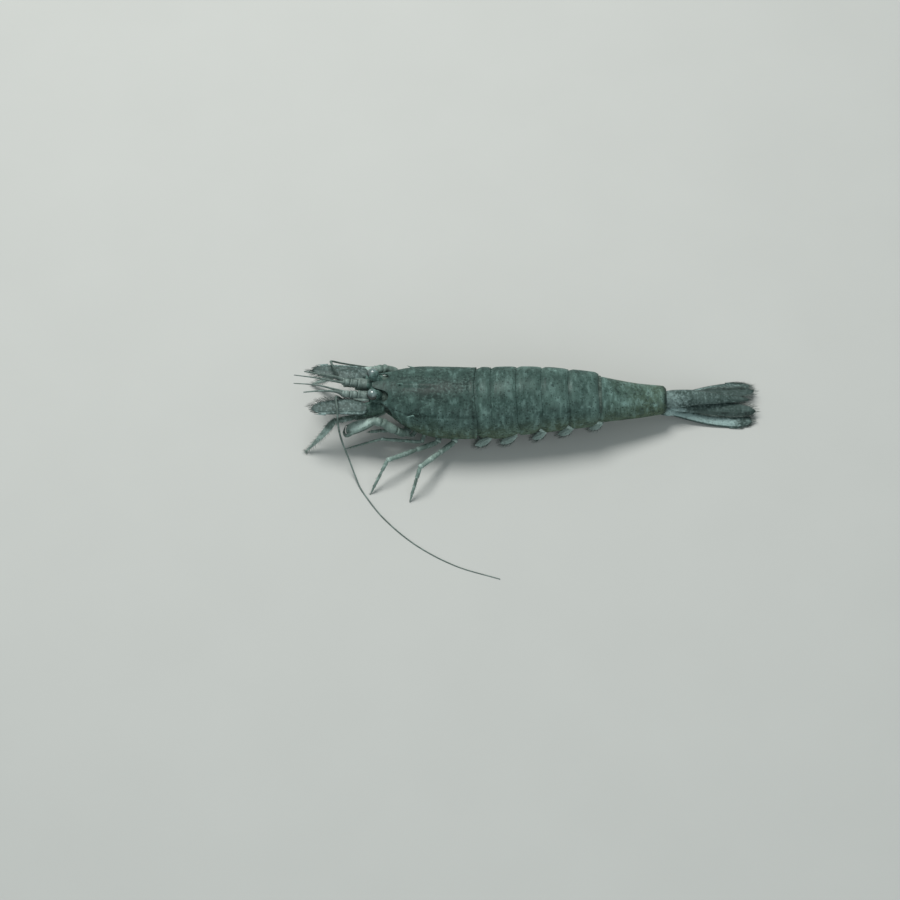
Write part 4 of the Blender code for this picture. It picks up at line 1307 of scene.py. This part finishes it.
# What grows on the outer and inner edge of each kind of leaf: the share of its length where the
# fringe begins, hairs per unit, their length, how far they lean to the tip, and their girth.
FRINGES = {
    "telson": (tail_hairs, (0.75, 9, 0.9, 0.75, 0.035), (0.75, 9, 0.9, 0.75, 0.035)),
    "exopod": (tail_hairs, (0.88, 30, 2.0, 0.7, 0.035), (0.3, 16, 1.9, 0.6, 0.035)),
    "endopod": (tail_hairs, (0.4, 14, 1.3, 0.7, 0.035), (0.35, 16, 1.8, 0.6, 0.035)),
    "scale": (scale_hairs, (0.9, 30, 1.7, 0.65, 0.035), (0.15, 18, 1.9, 0.55, 0.035)),
    "swim": (swim_hairs, (0.1, 11, 1.3, 0.6, 0.03), (0.1, 11, 1.3, 0.6, 0.03)),
}
for lane, (name, edges) in enumerate(sorted(FRINGE_EDGES.items())):
    row = 0.01 + 0.96 * lane / len(FRINGE_EDGES)
    hairs, outer, inner = FRINGES[name.split("_")[0]]
    hairs.edge(edges, 1, row, *outer)
    hairs.edge(edges, 2, row + 0.01, *inner)
tail_hairs.piece("tail_fringe", fringe_finish, "fan")
scale_hairs.piece("scale_fringe", fringe_finish, "fan")
swim_hairs.piece("swimming_limb_fringe", hair_finish, "feeler")

# %% [markdown]
# Legs have a few short hairs on all sides, and the mouth limbs a dense coat that finds food by
# touch. The hairs start just inside the same tubes that `jointed` made, and lean to the tip.

# %% Hairs on the limbs
limb_hairs = Hairs()
for lane, (joints, girths, claw, (density, length, depth)) in enumerate(HAIRY_LIMBS):
    for k, girth in enumerate(girths):
        start, end = np.array(joints[k]), np.array(joints[k + 1])
        count = int(np.linalg.norm(end - start) * density)
        t = chance.uniform(0.05, 0.97, count)
        turn = chance.uniform(0, 2 * pi, count)
        ahead = unit(end - start)
        across = unit(np.cross(ahead, (0, 0, 1)))
        out = across * np.cos(turn)[:, None] + np.cross(across, ahead) * np.sin(turn)[:, None]
        last = claw and k == len(girths) - 1
        height = girth * along(CLAW if last else SEGMENT, t) * depth
        roots = run(start, end, t, girth * (CLAW_SAG if last else SAG)) + out * height[:, None]
        roots[:, 2] = np.maximum(roots[:, 2], LOWEST_TIP)
        layout = np.stack([(0.05 + t + k) / 4.2, (lane + turn / 7) / (len(HAIRY_LIMBS) + 1)], -1)
        limb_hairs.grow(roots, out + ahead * 1.1, length, 0.03, layout)
limb_hairs.piece("limb_hairs", hair_finish, "limb")

# %% [markdown]
# The stage stays plain: a pale floor, a large soft lamp above and behind the animal, a weaker
# one in front and an even sky.

# %% Floor, lamps and sky
FLOOR_HALF = 1.5  # metres, half a side
SKY = (0.80, 0.92, 0.92, 1)
SKY_STRENGTH = 0.35


def put(name, data):
    """A new object of the stage."""
    obj = bpy.data.objects.new(name, data)
    bpy.context.scene.collection.objects.link(obj)
    return obj


def stage_floor():
    mesh = bpy.data.meshes.new("floor")
    corners = [(x * FLOOR_HALF, y * FLOOR_HALF, 0) for x, y in ((-1, -1), (1, -1), (1, 1), (-1, 1))]
    mesh.from_pydata(corners, [], [(0, 1, 2, 3)])
    look = Finish("floor_finish", Roughness=0.8)
    colour = look.mix(look.noise(20 * MM, 4.0), rgb(0.48, 0.485, 0.47), rgb(0.51, 0.515, 0.50))
    look.feed("Base Color", colour)
    mesh.materials.append(look.material)
    put("floor", mesh)


def lamp(name, place, size, power, colour):
    """A round soft lamp that shines at the middle of the object."""
    light = bpy.data.lights.new(name, "AREA")
    light.shape = "DISK"
    light.size = size
    light.energy = power
    light.color = colour
    obj = put(name, light)
    obj.location = place
    obj.rotation_euler = (-Vector(place)).to_track_quat("-Z", "Y").to_euler()


stage_floor()
lamp("key_lamp", (-0.10, 0.22, 0.45), 0.22, 2.2, (1.0, 1.0, 0.97))
lamp("front_lamp", (0.10, -0.50, 0.35), 0.5, 0.9, (0.90, 0.97, 1.0))
sky = bpy.data.worlds.new("studio")
sky.use_nodes = True
background = sky.node_tree.nodes["Background"]
background.inputs["Color"].default_value = SKY
background.inputs["Strength"].default_value = SKY_STRENGTH
bpy.context.scene.world = sky
bpy.context.scene.view_settings.view_transform = "Standard"

# %% [markdown]
# The camera looks down at sixty degrees from the animal's left. A long lens from far away keeps
# the perspective weak, so that near and far legs look equally large.

# %% Camera
AIM = (-5.567, -6.996, 0.0)
CAMERA_DISTANCE = 442.0
CAMERA_ELEVATION = 60
LENS, SENSOR = 85, 36  # millimetres
NEAREST, FARTHEST = 0.01, 10  # metres

lens = bpy.data.cameras.new("camera")
lens.lens = LENS
lens.sensor_width = SENSOR
lens.clip_start, lens.clip_end = NEAREST, FARTHEST
camera = put("camera", lens)
rise = radians(CAMERA_ELEVATION)
back = Vector((0, -cos(rise), sin(rise)))
camera.location = Vector(world(AIM)) + back * CAMERA_DISTANCE * UNIT
camera.rotation_euler = (-back).to_track_quat("-Z", "Y").to_euler()
bpy.context.scene.camera = camera
